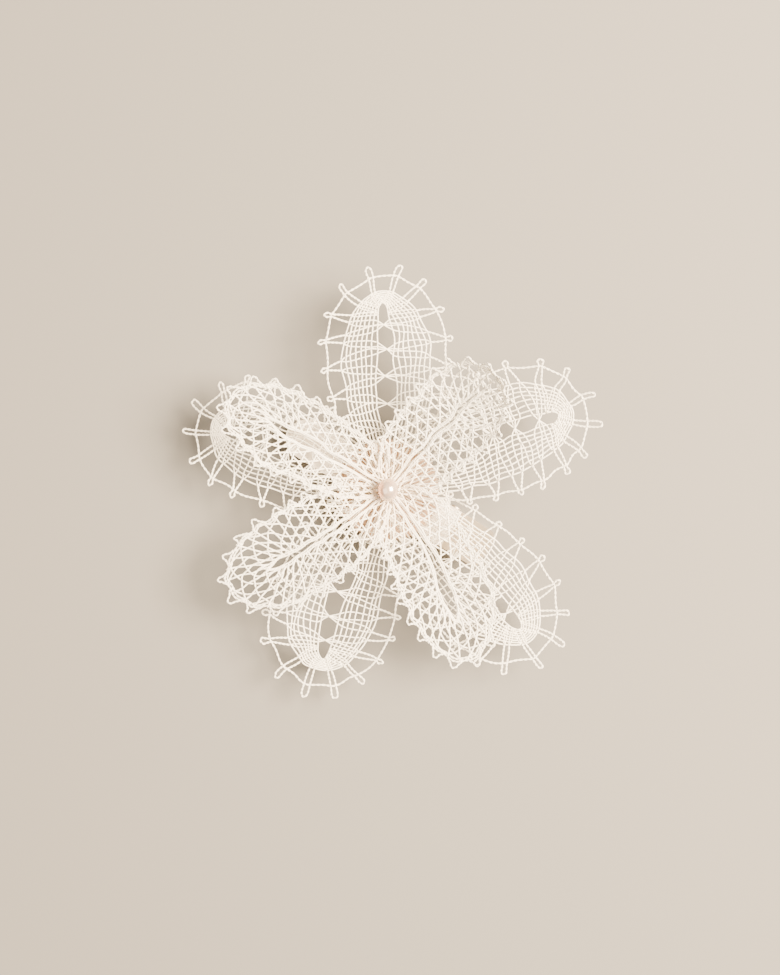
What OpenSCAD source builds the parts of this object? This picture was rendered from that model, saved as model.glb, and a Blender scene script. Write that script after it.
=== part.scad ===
// Flower hair clip: a bobbin-lace flower sewn to a sprung alligator clip.
// The origin is on the surface that the clip rests on, straight below the pearl. +Z is up.

/* [Outer petals] */
// Length of the top outer petal along its curve
outer_top_len = 44.6; // [40:0.1:48]
// Length of the right outer petal along its curve
outer_right_len = 45.4; // [40:0.1:48]
// Length of the lower right outer petal along its curve
outer_lower_right_len = 46.2; // [40:0.1:48]
// Length of the lower left outer petal along its curve
outer_lower_left_len = 44.0; // [40:0.1:48]
// Length of the left outer petal along its curve
outer_left_len = 42.2; // [38:0.1:46]
// Half width of an outer petal, to the tips of its picots
outer_half_w = 13.7; // [12:0.1:14]
// Height of the roots of the outer petals
outer_root_z = 7.6; // [7.5:0.05:7.8]
// Extra root height of the right outer petal, which lies over its neighbours
outer_right_lift = 0.7; // [0.6:0.05:0.9]

/* [Inner petals] */
// Length of the upper right inner petal along its curve
inner_upper_right_len = 36.5; // [33:0.1:39]
// Length of the lower right inner petal along its curve
inner_lower_right_len = 38.4; // [34:0.1:40]
// Length of the lower left inner petal along its curve
inner_lower_left_len = 37.8; // [34:0.1:40]
// Length of the upper left inner petal along its curve
inner_upper_left_len = 37.6; // [34:0.1:40]
// Half width of an inner petal, to the tips of its picots
inner_half_w = 10.4; // [9:0.1:10.8]
// Height of the roots of the inner petals
inner_root_z = 9.6; // [9.5:0.05:10]

/* [Lace] */
// Thickness of the lace
lace_t = 0.6; // [0.4:0.05:0.7]
// Distance from the pearl's axis to the petal roots
petal_root_r = 2.4; // [2.2:0.05:2.6]

/* [Pearl] */
// Width of the pearl, along its hole
pearl_d = 4.2; // [3.6:0.1:4.4]
// Length of the slightly oval pearl, square to its hole
pearl_len = 4.8; // [4.2:0.1:5]
// Direction of the pearl's length, anticlockwise from +X
pearl_dir = 90; // [60:1:120]
// Height of the pearl's centre
pearl_z = 12.3; // [12.2:0.1:13]
// Diameter of the hole through the pearl
pearl_hole_d = 0.9; // [0.7:0.05:1.1]
// Diameter of the sewing threads
thread_d = 0.4; // [0.3:0.05:0.45]

/* [Felt pad] */
// Diameter of the felt pad
felt_d = 21; // [19:0.5:22]
// Thickness of the felt pad
felt_t = 1.5; // [1.2:0.1:1.6]

/* [Clip] */
// Direction that the clip's nose points, anticlockwise from +X
clip_dir = 148; // [0:1:359]
// Distance from the pearl's axis to the nose
nose_len = 24; // [22:0.5:26]
// Distance from the pearl's axis to the end of the squeeze tabs
tab_reach = 24; // [22:0.5:25]
// Distance from the pearl's axis to the hinge
hinge_back = 14; // [13:0.5:15]
// Width of the arms
arm_w = 8.4; // [8:0.1:9]
// Thickness of the sheet steel
sheet_t = 0.6; // [0.5:0.05:0.7]
// Height of the underside of the upper arm
upper_z = 4.4; // [4.2:0.05:4.5]
// Upward bend of the upper squeeze tab
tab_angle = 22; // [21:0.5:23]
// Distance between two teeth
tooth_pitch = 2; // [1.5:0.25:2.5]

/* [Hidden] */

ivory = "ivory";
$fn = 48;

// Petal grid: steps along the length and across the width
len_steps = 22;
width_steps = 8;
// Share of the full width at the gathered root, and where along the length a petal is widest
root_share = 0.10;
widest_at = 0.62;
// How far towards the pointed end of the outline the grid runs
tip_stop = 0.9985;

// Clip heights and distances that follow from the driving dimensions
hinge_z = 2.5;
pin_r = 0.6;
pin_run = 0.05;
pin_press = 0.01;
ear_r = 1.3;
side_gap = 0.15;
ear_out = arm_w / 2 - sheet_t / 2;
ear_in = ear_out - sheet_t - side_gap;
neck_w = 2 * ear_in + sheet_t;
tooth_h = 1.1;
tooth_gap = 0.2;
teeth_from = 3;
teeth_to = nose_len - 2.5;
flange_h = 1.1;
felt_z = upper_z + sheet_t + 0.05;
felt_top = felt_z + felt_t;
lash_u = [-8, -3.5, 1];
lash_v = arm_w / 2 + 0.45;
lash_top = felt_top + thread_d / 2 + 0.02;
lash_bottom = upper_z - thread_d / 2 - 0.02;

// Spring wire and coil
wire_r = 0.3;
coil_r = 1.15;
coil_turns = 4;
coil_pitch = 0.72;
leg_len = 6.5;
coil_steps = 20;

// ---- Petals ----

// Width share of the petal outline at the place t, from 0 at the root to 1 at the tip: a sine rise to the
// widest place, then a quarter ellipse to the tip
function outline(t) =
  t < widest_at
    ? root_share + (1 - root_share) * sin(90 * t / widest_at)
    : sqrt(max(0, 1 - pow((t - widest_at) / (1 - widest_at), 2)));

// Slope of the petal's middle line at t: it rises, bends down and flicks up at the tip
function slope(t, rise, bend, flick) = rise + bend * t + flick * t * t * t;

// Points of the middle line, added up in small straight steps from the root
fine_steps = 110;
function middle_line(len, dir, sway, rise, bend, flick, root_z) = [
  for (
    i = 0, p = [petal_root_r * cos(dir), petal_root_r * sin(dir), root_z];
    i <= fine_steps;
    t = (i + 0.5) / fine_steps,
    s = slope(t, rise, bend, flick),
    a = dir + sway * t,
    p = p + len / fine_steps * [cos(s) * cos(a), cos(s) * sin(a), sin(s)],
    i = i + 1
  ) p
];

// Place on the middle line at t, between two of its points
function on_line(line, t) =
  let (x = t * fine_steps, i = min(fine_steps - 1, floor(x)), f = x - i)
  line[i] * (1 - f) + line[i + 1] * f;

// One petal: a thin curved leaf, cupped across its width and rolled about its middle line
module petal(len, half_w, dir, sway, rise, bend, flick, cup, roll, root_z) {
  line = middle_line(len, dir, sway, rise, bend, flick, root_z);
  curl = 2 * cup * PI / 180 / half_w;
  rows = [
    for (i = [0:len_steps])
      let (
        t = tip_stop * (1 - pow(1 - i / len_steps, 1.5)),
        c = on_line(line, t),
        s = slope(t, rise, bend, flick),
        a = dir + sway * t,
        side = [-sin(a), cos(a), 0],
        up = [-sin(s) * cos(a), -sin(s) * sin(a), cos(s)],
        w = half_w * outline(t)
      )
      [
        for (j = [0:width_steps])
          let (
            q = w * (2 * j / width_steps - 1),
            y = q * (1 - pow(curl * q, 2) / 6),
            n = curl * q * q / 2,
            lean = roll * t + curl * q * 180 / PI,
            mid = c + side * (y * cos(roll * t) - n * sin(roll * t))
                    + up * (y * sin(roll * t) + n * cos(roll * t)),
            face = up * cos(lean) - side * sin(lean)
          )
          [mid - face * lace_t / 2, mid + face * lace_t / 2]
      ]
  ];
  cols = width_steps + 1;
  sheet_n = (len_steps + 1) * cols;
  points = [for (k = [0, 1], i = [0:len_steps], j = [0:width_steps]) rows[i][j][k]];
  skin = [
    for (i = [0:len_steps - 1], j = [0:width_steps - 1])
      let (a = i * cols + j, b = a + cols)
      each [
        [a, b, a + 1], [a + 1, b, b + 1],
        [sheet_n + a, sheet_n + a + 1, sheet_n + b], [sheet_n + a + 1, sheet_n + b + 1, sheet_n + b]
      ]
  ];
  long_rims = [
    for (i = [0:len_steps - 1])
      let (a = i * cols, b = a + cols, c = a + width_steps, d = b + width_steps)
      each [
        [a, sheet_n + a, b], [b, sheet_n + a, sheet_n + b],
        [c, d, sheet_n + c], [d, sheet_n + d, sheet_n + c]
      ]
  ];
  end_rims = [
    for (j = [0:width_steps - 1])
      let (a = j, c = len_steps * cols + j)
      each [
        [a, a + 1, sheet_n + a], [a + 1, sheet_n + a + 1, sheet_n + a],
        [c, sheet_n + c, c + 1], [c + 1, sheet_n + c, sheet_n + c + 1]
      ]
  ];
  polyhedron(points = points, faces = concat(skin, long_rims, end_rims), convexity = 6);
}

module outer_petal_top() {
  color(ivory)
    petal(outer_top_len, outer_half_w + 0.3, 90, 4, 12, -18, 26, 8, 8, outer_root_z);
}

module outer_petal_right() {
  color(ivory)
    petal(outer_right_len, outer_half_w, 33, -25, 16, -14, 18, 8, 6, outer_root_z + outer_right_lift);
}

module outer_petal_lower_right() {
  color(ivory)
    petal(outer_lower_right_len, outer_half_w, -46.5, 2, 10, -20, 12, 8, 4, outer_root_z);
}

module outer_petal_lower_left() {
  color(ivory)
    petal(outer_lower_left_len, outer_half_w + 0.7, -123, 31, 6, -22, 10, 6, -4, outer_root_z);
}

module outer_petal_left() {
  color(ivory)
    petal(outer_left_len, outer_half_w - 0.5, 158.5, 3, 6, -20, 14, 8, 3, outer_root_z);
}

module inner_petal_upper_right() {
  color(ivory)
    petal(inner_upper_right_len, inner_half_w, 50, -6, 18, 6, 46, 12, 0, inner_root_z);
}

module inner_petal_lower_right() {
  color(ivory)
    petal(inner_lower_right_len, inner_half_w, -52, -30, 14, -22, 20, 12, 0, inner_root_z);
}

module inner_petal_lower_left() {
  color(ivory)
    petal(inner_lower_left_len, inner_half_w + 0.4, 218, -14, 14, -28, 16, 12, 0, inner_root_z);
}

module inner_petal_upper_left() {
  color(ivory)
    petal(inner_upper_left_len, inner_half_w - 0.6, 148.5, 4, 15, -16, 26, 14, -6, inner_root_z);
}

// ---- Pearl, threads and felt ----

// A tube swept along a list of points. Each ring stands square to the path there.
module swept_tube(path, r, sides = 8) {
  last = len(path) - 1;
  tangents = [
    for (i = [0:last])
      let (v = path[min(last, i + 1)] - path[max(0, i - 1)]) v / norm(v)
  ];
  points = [
    for (i = [0:last])
      let (
        d = tangents[i],
        ref = abs(d[1]) < 0.9 ? [0, 1, 0] : [1, 0, 0],
        e = cross(ref, d) / norm(cross(ref, d)),
        f = cross(d, e)
      )
      for (k = [0:sides - 1]) path[i] + r * (cos(360 * k / sides) * e + sin(360 * k / sides) * f)
  ];
  walls = [
    for (i = [0:last - 1], k = [0:sides - 1])
      let (a = i * sides + k, b = i * sides + (k + 1) % sides)
      each [[a, a + sides, b], [b, a + sides, b + sides]]
  ];
  start_cap = [for (k = [0:sides - 1]) k];
  end_cap = [for (k = [sides - 1:-1:0]) last * sides + k];
  polyhedron(points = points, faces = concat(walls, [start_cap, end_cap]), convexity = 8);
}

// The pearl's hole lies level, across its length
module pearl_bead() {
  color([0.96, 0.83, 0.76])
    rotate([0, 0, pearl_dir])
      difference() {
        translate([0, 0, pearl_z])
          scale([pearl_len / pearl_d, 1, 1])
            sphere(d = pearl_d);
        translate([0, 0, pearl_z])
          rotate([90, 0, 0])
            cylinder(d = pearl_hole_d, h = pearl_d + 2, center = true);
      }
}

// The thread runs up one side of the pearl, through its hole and down the other side
module bead_thread() {
  out = pearl_d / 2 + 0.35;
  foot_z = outer_root_z - 0.1;
  half = [
    [0, 0, pearl_z], [0, out - 0.55, pearl_z], [0, out - 0.16, pearl_z - 0.1], [0, out, pearl_z - 0.45],
    [0, out - 0.1, pearl_z - 1.1], [0, out - 0.75, pearl_z - 2.1], [0, 0.9, pearl_z - 2.8],
    [0, 0.6, foot_z]
  ];
  count = len(half);
  path = concat(
    [for (i = [count - 1:-1:1]) [0, -half[i][1], half[i][2]]],
    half
  );
  color(ivory)
    rotate([0, 0, pearl_dir])
      swept_tube(path, thread_d / 2);
}

// The ring that draws the petal roots together
module gathering_thread() {
  color(ivory)
    translate([0, 0, outer_root_z + 0.9])
      rotate_extrude()
        translate([petal_root_r - 0.95, 0])
          circle(d = thread_d, $fn = 16);
}

module felt_pad() {
  color([0.86, 0.72, 0.64])
    rotate([0, 0, clip_dir])
      difference() {
        translate([0, 0, felt_z])
          cylinder(d = felt_d, h = felt_t);
        for (u = lash_u, side = [-1, 1])
          translate([u, side * lash_v, felt_z - 1])
            cylinder(d = thread_d + 0.2, h = felt_t + 2, $fn = 16);
      }
}

// One loop of thread round the upper arm and over the felt
module lash_loop(u) {
  r = thread_d / 2;
  high = lash_top;
  low = lash_bottom;
  corner = 0.3;
  steps = 3;
  // quarter turns at the four corners of the loop
  ring = [
    for (c = [[1, high, 0], [-1, high, 90], [-1, low, 180], [1, low, 270]], k = [0:steps])
      let (
        a = c[2] + 90 * k / steps,
        top = c[1] > upper_z + sheet_t ? -1 : 1
      )
      [u, c[0] * (lash_v - corner) + corner * cos(a), c[1] + top * corner + corner * sin(a)]
  ];
  count = len(ring);
  sides = 8;
  points = [
    for (i = [0:count - 1])
      let (
        d0 = ring[(i + 1) % count] - ring[(i + count - 1) % count],
        d = d0 / norm(d0),
        e = [1, 0, 0],
        f = cross(d, e)
      )
      for (k = [0:sides - 1]) ring[i] + r * (cos(360 * k / sides) * e + sin(360 * k / sides) * f)
  ];
  faces = [
    for (i = [0:count - 1], k = [0:sides - 1])
      let (
        a = i * sides + k,
        b = i * sides + (k + 1) % sides,
        c = ((i + 1) % count) * sides + k,
        e = ((i + 1) % count) * sides + (k + 1) % sides
      )
      each [[a, c, b], [b, c, e]]
  ];
  polyhedron(points = points, faces = faces, convexity = 6);
}

module clip_lashing() {
  color(ivory)
    rotate([0, 0, clip_dir])
      for (u = lash_u)
        lash_loop(u);
}

// ---- Clip: +X is towards the nose, +Y is across the arms ----

// Plan of an arm: a round nose, and rounded corners at the tab
module arm_plan() {
  nose_r = arm_w / 2;
  corner = 1.5;
  union() {
    translate([nose_len - nose_r, 0])
      circle(r = nose_r);
    translate([-tab_reach + corner, -arm_w / 2])
      square([tab_reach + nose_len - nose_r - corner, arm_w]);
    translate([-tab_reach, -arm_w / 2 + corner])
      square([corner + 1, arm_w - 2 * corner]);
    for (side = [-1, 1])
      translate([-tab_reach + corner, side * (arm_w / 2 - corner)])
        circle(r = corner);
  }
}

// Saw-tooth edge of a side flange, from height base to base + tooth_h, pointing up
module tooth_row(base, phase, count) {
  polygon(concat(
    [[teeth_from, base]],
    [
      for (i = [0:count - 1])
        let (x = teeth_from + i * tooth_pitch)
        each [
          [x, base + flange_h + (phase ? tooth_h : 0)],
          [x + tooth_pitch / 2, base + flange_h + (phase ? 0 : tooth_h)]
        ]
    ],
    [
      [teeth_from + count * tooth_pitch, base + flange_h + (phase ? tooth_h : 0)],
      [teeth_from + count * tooth_pitch, base]
    ]
  ));
}

// A pair of side plates, each centred at the distance off from the clip's middle
module side_plates(off) {
  for (side = [-1, 1])
    translate([0, side * off + sheet_t / 2, 0])
      rotate([90, 0, 0])
        linear_extrude(height = sheet_t)
          children();
}

tooth_count = floor((teeth_to - teeth_from) / tooth_pitch);

module lower_jaw() {
  color([0.80, 0.70, 0.56])
    rotate([0, 0, clip_dir])
      difference() {
        union() {
          linear_extrude(height = sheet_t)
            difference() {
              arm_plan();
              for (side = [-1, 1])
                translate([-hinge_back, side * (neck_w / 2 + arm_w / 2)])
                  square([2 * ear_r + 1.2, arm_w], center = true);
            }
          side_plates(ear_in)
            union() {
              translate([-hinge_back, hinge_z])
                circle(r = ear_r);
              translate([-hinge_back - ear_r, sheet_t / 2])
                square([2 * ear_r, hinge_z - sheet_t / 2]);
            }
          side_plates(ear_out)
            tooth_row(sheet_t / 2, false, tooth_count);
        }
        translate([-hinge_back, 0, hinge_z])
          rotate([90, 0, 0])
            cylinder(r = pin_r + pin_run, h = arm_w + 2, center = true);
      }
}

module upper_jaw() {
  flange_top = upper_z + sheet_t / 2;
  tab_rise = (tab_reach - hinge_back - 1.5) * tan(tab_angle);
  color([0.80, 0.70, 0.56])
    rotate([0, 0, clip_dir])
      difference() {
        union() {
          intersection() {
            rotate([90, 0, 0])
              linear_extrude(height = arm_w + 2, center = true)
                polygon([
                  [nose_len + 1, upper_z], [-hinge_back - 1.5, upper_z],
                  [-tab_reach, upper_z + tab_rise], [-tab_reach, upper_z + tab_rise + sheet_t / cos(tab_angle)],
                  [-hinge_back - 1.5, upper_z + sheet_t], [nose_len + 1, upper_z + sheet_t]
                ]);
            linear_extrude(height = 20)
              arm_plan();
          }
          side_plates(ear_out)
            union() {
              translate([-hinge_back, hinge_z])
                circle(r = ear_r);
              translate([-hinge_back - ear_r, hinge_z])
                square([2 * ear_r, flange_top - hinge_z]);
            }
          // teeth point down, half a pitch along from the lower ones, so that both rows mesh
          translate([0, 0, flange_top])
            mirror([0, 0, 1])
              side_plates(ear_out)
                upper_teeth(flange_top);
        }
        translate([-hinge_back, 0, hinge_z])
          rotate([90, 0, 0])
            cylinder(r = pin_r + pin_press, h = arm_w + 2, center = true);
      }
}

// The upper saw-tooth edge, drawn downwards from the flange's top, a tooth gap clear of the lower one
module upper_teeth(top) {
  low = top - (sheet_t / 2 + flange_h + tooth_h + tooth_gap);
  polygon(concat(
    [[teeth_from, 0]],
    [
      for (i = [0:tooth_count - 1])
        let (x = teeth_from + i * tooth_pitch)
        each [[x, low + tooth_h], [x + tooth_pitch / 2, low]]
    ],
    [
      [teeth_from + tooth_count * tooth_pitch, low + tooth_h],
      [teeth_from + tooth_count * tooth_pitch, 0]
    ]
  ));
}

module hinge_pin() {
  head_r = 1;
  head_t = 0.35;
  color([0.80, 0.70, 0.56])
    rotate([0, 0, clip_dir])
      translate([-hinge_back, 0, hinge_z])
        rotate([90, 0, 0])
          union() {
            cylinder(r = pin_r, h = arm_w + 0.1, center = true);
            for (side = [-1, 1])
              translate([0, 0, side * (arm_w / 2 + 0.05 + head_t / 2)])
                cylinder(r = head_r, h = head_t, center = true);
          }
}

// The coil's turns lie side by side along the pin. One leg runs out under each tab.
module torsion_spring() {
  half_len = coil_turns * coil_pitch / 2;
  // the legs leave the coil at its top and bottom and lean towards their tabs
  up_leg = tab_angle * 0.55;
  down_leg = 8;
  start = 90 + up_leg;
  sweep = 360 * coil_turns - 180 - up_leg - down_leg;
  count = coil_turns * coil_steps;
  coil = [
    for (i = [0:count])
      let (a = start + sweep * i / count)
      [coil_r * cos(a), -half_len + 2 * half_len * i / count, coil_r * sin(a)]
  ];
  first = coil[0];
  last = coil[count];
  leg_up = [first[0] - leg_len * cos(up_leg), first[1], first[2] + leg_len * sin(up_leg)];
  leg_down = [last[0] - leg_len * cos(down_leg), last[1], last[2] - 0.35];
  color([0.72, 0.72, 0.72])
    rotate([0, 0, clip_dir])
      translate([-hinge_back, 0, hinge_z])
        swept_tube(concat([leg_up], coil, [leg_down]), wire_r);
}

outer_petal_top();
outer_petal_right();
outer_petal_lower_right();
outer_petal_lower_left();
outer_petal_left();
inner_petal_upper_right();
inner_petal_lower_right();
inner_petal_lower_left();
inner_petal_upper_left();
pearl_bead();
bead_thread();
gathering_thread();
felt_pad();
clip_lashing();
upper_jaw();
lower_jaw();
hinge_pin();
torsion_spring();
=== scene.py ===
"""A lace flower hair clip: bobbin-lace petals, pearl, sewing, felt, spring and clip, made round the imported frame."""

from __future__ import annotations

import logging
import math
from dataclasses import dataclass
from enum import Enum
from typing import Any, Callable, Union

import bmesh
import bpy
import numpy as np
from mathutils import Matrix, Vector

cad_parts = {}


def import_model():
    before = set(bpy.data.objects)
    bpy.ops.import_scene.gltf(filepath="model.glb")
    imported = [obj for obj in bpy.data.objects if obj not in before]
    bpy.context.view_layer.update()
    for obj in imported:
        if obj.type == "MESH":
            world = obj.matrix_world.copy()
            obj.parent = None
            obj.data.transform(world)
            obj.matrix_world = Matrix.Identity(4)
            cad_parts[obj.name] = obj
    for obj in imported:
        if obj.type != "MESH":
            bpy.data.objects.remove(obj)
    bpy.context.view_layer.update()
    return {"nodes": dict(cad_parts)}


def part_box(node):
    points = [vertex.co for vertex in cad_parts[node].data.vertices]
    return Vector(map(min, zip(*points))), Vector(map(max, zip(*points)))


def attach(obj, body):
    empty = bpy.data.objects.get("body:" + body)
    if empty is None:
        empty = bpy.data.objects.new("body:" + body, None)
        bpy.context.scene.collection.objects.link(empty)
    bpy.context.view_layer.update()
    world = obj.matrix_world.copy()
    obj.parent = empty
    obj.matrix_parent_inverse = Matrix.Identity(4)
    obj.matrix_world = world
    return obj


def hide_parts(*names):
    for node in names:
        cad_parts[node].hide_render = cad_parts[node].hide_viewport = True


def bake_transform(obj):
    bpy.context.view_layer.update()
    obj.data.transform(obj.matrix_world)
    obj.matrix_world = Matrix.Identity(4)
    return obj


LOG = logging.getLogger("lace_clip")
MM = 0.001
WAVE_COUNT = 7
AHEAD, LEFT, UP = np.eye(3)
Array = np.ndarray
Colour = tuple[float, float, float]
Row = tuple[Array, Array, Array]


class Body(Enum):
    """The two bodies that the hinge joins."""

    FLOWER = "flower"
    LOWER_ARM = "lower_arm"


class Slot(Enum):
    """Names for the material slots."""

    LACE = "lace_thread"
    SEWING = "sewing_thread"
    FELT = "felt"
    PEARL = "pearl"
    METAL = "clip_metal"
    SPRING = "spring_steel"


# ---------------------------------------------------------------- mesh helpers


@dataclass
class Skin:
    """A closed surface as arrays: points in millimetres, four-sided faces and a UV for each face corner."""

    points: Array
    quads: Array
    uvs: Array


def unit(vectors: Array) -> Array:
    """Scale vectors to length one.

    Args:
        vectors: array whose last axis is x, y, z.

    Returns:
        The unit vectors: each vector over its own length.
    """
    return vectors / np.maximum(np.linalg.norm(vectors, axis=-1, keepdims=True), 1e-9)


def sweep(paths: Array, normals: Array, radius: Union[float, Array], sides: int = 6, closed: bool = False) -> Skin:
    """Carry a circle along every path at once.

    A ring point is the path point plus radius times (cos a times the sideways direction plus sin a times the
    raised direction); sideways is the normal crossed with the path's direction.

    Args:
        paths: threads by points by 3, in millimetres.
        normals: direction that faces away from the lace at each point, same shape.
        radius: one radius, or one for each point.
        sides: corners of the ring; an even number.
        closed: True where each path ends where it began.

    Returns:
        The tubes, with u round the thread and v its length in millimetres.
    """
    threads, count = paths.shape[:2]
    if closed:
        along = np.roll(paths, -1, axis=1) - np.roll(paths, 1, axis=1)
    else:
        along = np.gradient(paths, axis=1)
    along = unit(along)
    aside = unit(np.cross(normals, along))
    raised = np.cross(along, aside)
    angle = np.arange(sides) * (2 * math.pi / sides)
    size = np.broadcast_to(np.asarray(radius, float), (threads, count))[..., None, None]
    ring = np.cos(angle)[:, None] * aside[..., None, :] + np.sin(angle)[:, None] * raised[..., None, :]
    points = paths[..., None, :] + size * ring
    index = np.arange(threads * count * sides).reshape(threads, count, sides)
    ahead = np.roll(index, -1, axis=1) if closed else index[:, 1:]
    here = index if closed else index[:, :-1]
    turn = np.roll(np.arange(sides), -1)
    walls = np.stack([here, here[..., turn], ahead[..., turn], ahead], axis=-1)
    step = np.linalg.norm(np.diff(paths, axis=1), axis=-1)
    length = np.concatenate([np.zeros((threads, 1)), np.cumsum(step, axis=1)], axis=1)
    if closed:
        length = np.concatenate([length, length[:, -1:] + step[:, -1:]], axis=1)
    v_here = np.broadcast_to(length[:, :-1, None], walls.shape[:3])
    v_ahead = np.broadcast_to(length[:, 1:, None], walls.shape[:3])
    u_here = np.broadcast_to(np.arange(sides) / sides, walls.shape[:3])
    u_next = u_here + 1 / sides
    uvs = np.stack([u_here, v_here, u_next, v_here, u_next, v_ahead, u_here, v_ahead], axis=-1)
    quads = [walls.reshape(-1, 4)]
    corners = [uvs.reshape(-1, 4, 2)]
    if not closed:
        first, last = index[:, 0], index[:, -1]
        for k in range(1, sides - 2, 2):
            quads.append(np.stack([first[:, 0], first[:, k + 2], first[:, k + 1], first[:, k]], -1))
            quads.append(np.stack([last[:, 0], last[:, k], last[:, k + 1], last[:, k + 2]], -1))
            corners += [np.full((threads, 4, 2), 0.5)] * 2
    return Skin(points.reshape(-1, 3), np.concatenate(quads), np.concatenate(corners))


def grid_skin(points: Array, wrap_cols: bool) -> Skin:
    """Join a grid of points with four-sided faces; its last row joins the first.

    Args:
        points: rows by columns by 3, in millimetres.
        wrap_cols: True where the last column joins the first.

    Returns:
        The surface, with UVs that count the grid's cells.
    """
    rows, cols = points.shape[:2]
    index = np.arange(rows * cols).reshape(rows, cols)
    index = np.concatenate([index, index[:1]])
    if wrap_cols:
        index = np.concatenate([index, index[:, :1]], axis=1)
    quads = np.stack([index[:-1, :-1], index[1:, :-1], index[1:, 1:], index[:-1, 1:]], -1)
    i, j = np.meshgrid(np.arange(quads.shape[0]), np.arange(quads.shape[1]), indexing="ij")
    cell = np.stack([i, j], -1)[..., None, :] + np.array([[0, 0], [1, 0], [1, 1], [0, 1]])
    share = cell / np.array([quads.shape[0], quads.shape[1]])
    return Skin(points.reshape(-1, 3), quads.reshape(-1, 4), share.reshape(-1, 4, 2))


def join_skins(skins: list[Skin]) -> Skin:
    """Put several surfaces in one.

    Args:
        skins: the surfaces.

    Returns:
        One surface, with the faces' point numbers moved up past the points before them.
    """
    starts = np.cumsum([0] + [len(s.points) for s in skins[:-1]])
    quads = np.concatenate([s.quads + start for s, start in zip(skins, starts)])
    return Skin(np.concatenate([s.points for s in skins]), quads, np.concatenate([s.uvs for s in skins]))


def make_piece(name: str, skin: Skin) -> bpy.types.Object:
    """Make a Blender object from a surface.

    Args:
        name: the piece's name.
        skin: the surface, in millimetres.

    Returns:
        The object, at the origin and unturned, smooth, with a UV map.
    """
    mesh = bpy.data.meshes.new(name)
    faces = len(skin.quads)
    mesh.vertices.add(len(skin.points))
    mesh.vertices.foreach_set("co", (skin.points * MM).astype(np.float32).ravel())
    mesh.loops.add(faces * 4)
    mesh.loops.foreach_set("vertex_index", skin.quads.astype(np.int32).ravel())
    mesh.polygons.add(faces)
    mesh.polygons.foreach_set("loop_start", np.arange(0, faces * 4, 4, dtype=np.int32))
    mesh.update(calc_edges=True)
    mesh.uv_layers.new(name="thread_uv").data.foreach_set("uv", skin.uvs.astype(np.float32).ravel())
    mesh.polygons.foreach_set("use_smooth", np.ones(faces, dtype=bool))
    mesh.validate()
    piece = bpy.data.objects.new(name, mesh)
    bpy.context.scene.collection.objects.link(piece)
    return piece


def smooth_path(knots: Array, count: int) -> Array:
    """Draw a smooth curve through a few points (a Catmull-Rom spline).

    Between knots b and c, with a before and d after, the point at f is half of
    2b + (c - a) f + (2a - 5b + 4c - d) f^2 + (3b - a - 3c + d) f^3.

    Args:
        knots: threads by knots by any number of coordinates.
        count: points on each finished curve.

    Returns:
        Threads by count by coordinates.
    """
    head = 2 * knots[:, :1] - knots[:, 1:2]
    tail = 2 * knots[:, -1:] - knots[:, -2:-1]
    padded = np.concatenate([head, knots, tail], axis=1)
    place = np.linspace(0, knots.shape[1] - 1, count)
    i = np.minimum(place.astype(int), knots.shape[1] - 2)
    f = (place - i)[None, :, None]
    a, b, c, d = (padded[:, i + k] for k in range(4))
    return 0.5 * (2 * b + (c - a) * f + (2 * a - 5 * b + 4 * c - d) * f**2 + (3 * b - a - 3 * c + d) * f**3)


def waves(points: Array, seed: int, per_mm: float) -> Array:
    """Smooth seeded unevenness, mostly between -1 and 1.

    It is the sum of a few cosine waves in random directions, over the square root of their count.

    Args:
        points: array whose last axis is x, y, z in millimetres.
        seed: which unevenness.
        per_mm: how many waves fit in a millimetre.

    Returns:
        One value for each point.
    """
    rng = np.random.default_rng(seed)
    ways = rng.normal(size=(WAVE_COUNT, 3)) * (2 * math.pi * per_mm / math.sqrt(3))
    starts = rng.uniform(0, 2 * math.pi, WAVE_COUNT)
    return np.cos(points @ ways.T + starts).sum(-1) / math.sqrt(WAVE_COUNT)


def facing(way: Array, path: Array) -> Array:
    """The same direction at every point of a path."""
    return np.broadcast_to(way, path.shape)


def mirrored(half: list[list[float]]) -> Array:
    """A loop's knots from its first half: the other half is the same with the second number negated."""
    knots = np.array(half)
    return np.concatenate([knots, knots[-2::-1] * np.array([1, -1])])


# ---------------------------------------------------------------- materials


class Value:
    """A number socket that can be written into sums."""

    def __init__(self, book: "FinishBook", socket: Any) -> None:
        """Keep the material's node book and the socket."""
        self.book = book
        self.socket = socket

    def _math(self, operation: str, *inputs: Any) -> "Value":
        """Add one Math node on the inputs."""
        return Value(self.book, self.book.node("ShaderNodeMath", {"operation": operation}, dict(enumerate(inputs))))

    def __add__(self, other: Any) -> "Value":
        """This plus other."""
        return self._math("ADD", self, other)

    def __sub__(self, other: Any) -> "Value":
        """This minus other."""
        return self._math("SUBTRACT", self, other)

    def __rsub__(self, other: Any) -> "Value":
        """Other minus this."""
        return self._math("SUBTRACT", other, self)

    def __mul__(self, other: Any) -> "Value":
        """This times other."""
        return self._math("MULTIPLY", self, other)

    def __pow__(self, other: Any) -> "Value":
        """This to the power of other."""
        return self._math("POWER", self, other)

    __radd__ = __add__
    __rmul__ = __mul__

    def sine(self) -> "Value":
        """The sine of this, in radians."""
        return self._math("SINE", self)

    def clamped(self) -> "Value":
        """This, held between 0 and 1."""
        return self._math("MINIMUM", self._math("MAXIMUM", self, 0.0), 1.0)


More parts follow.
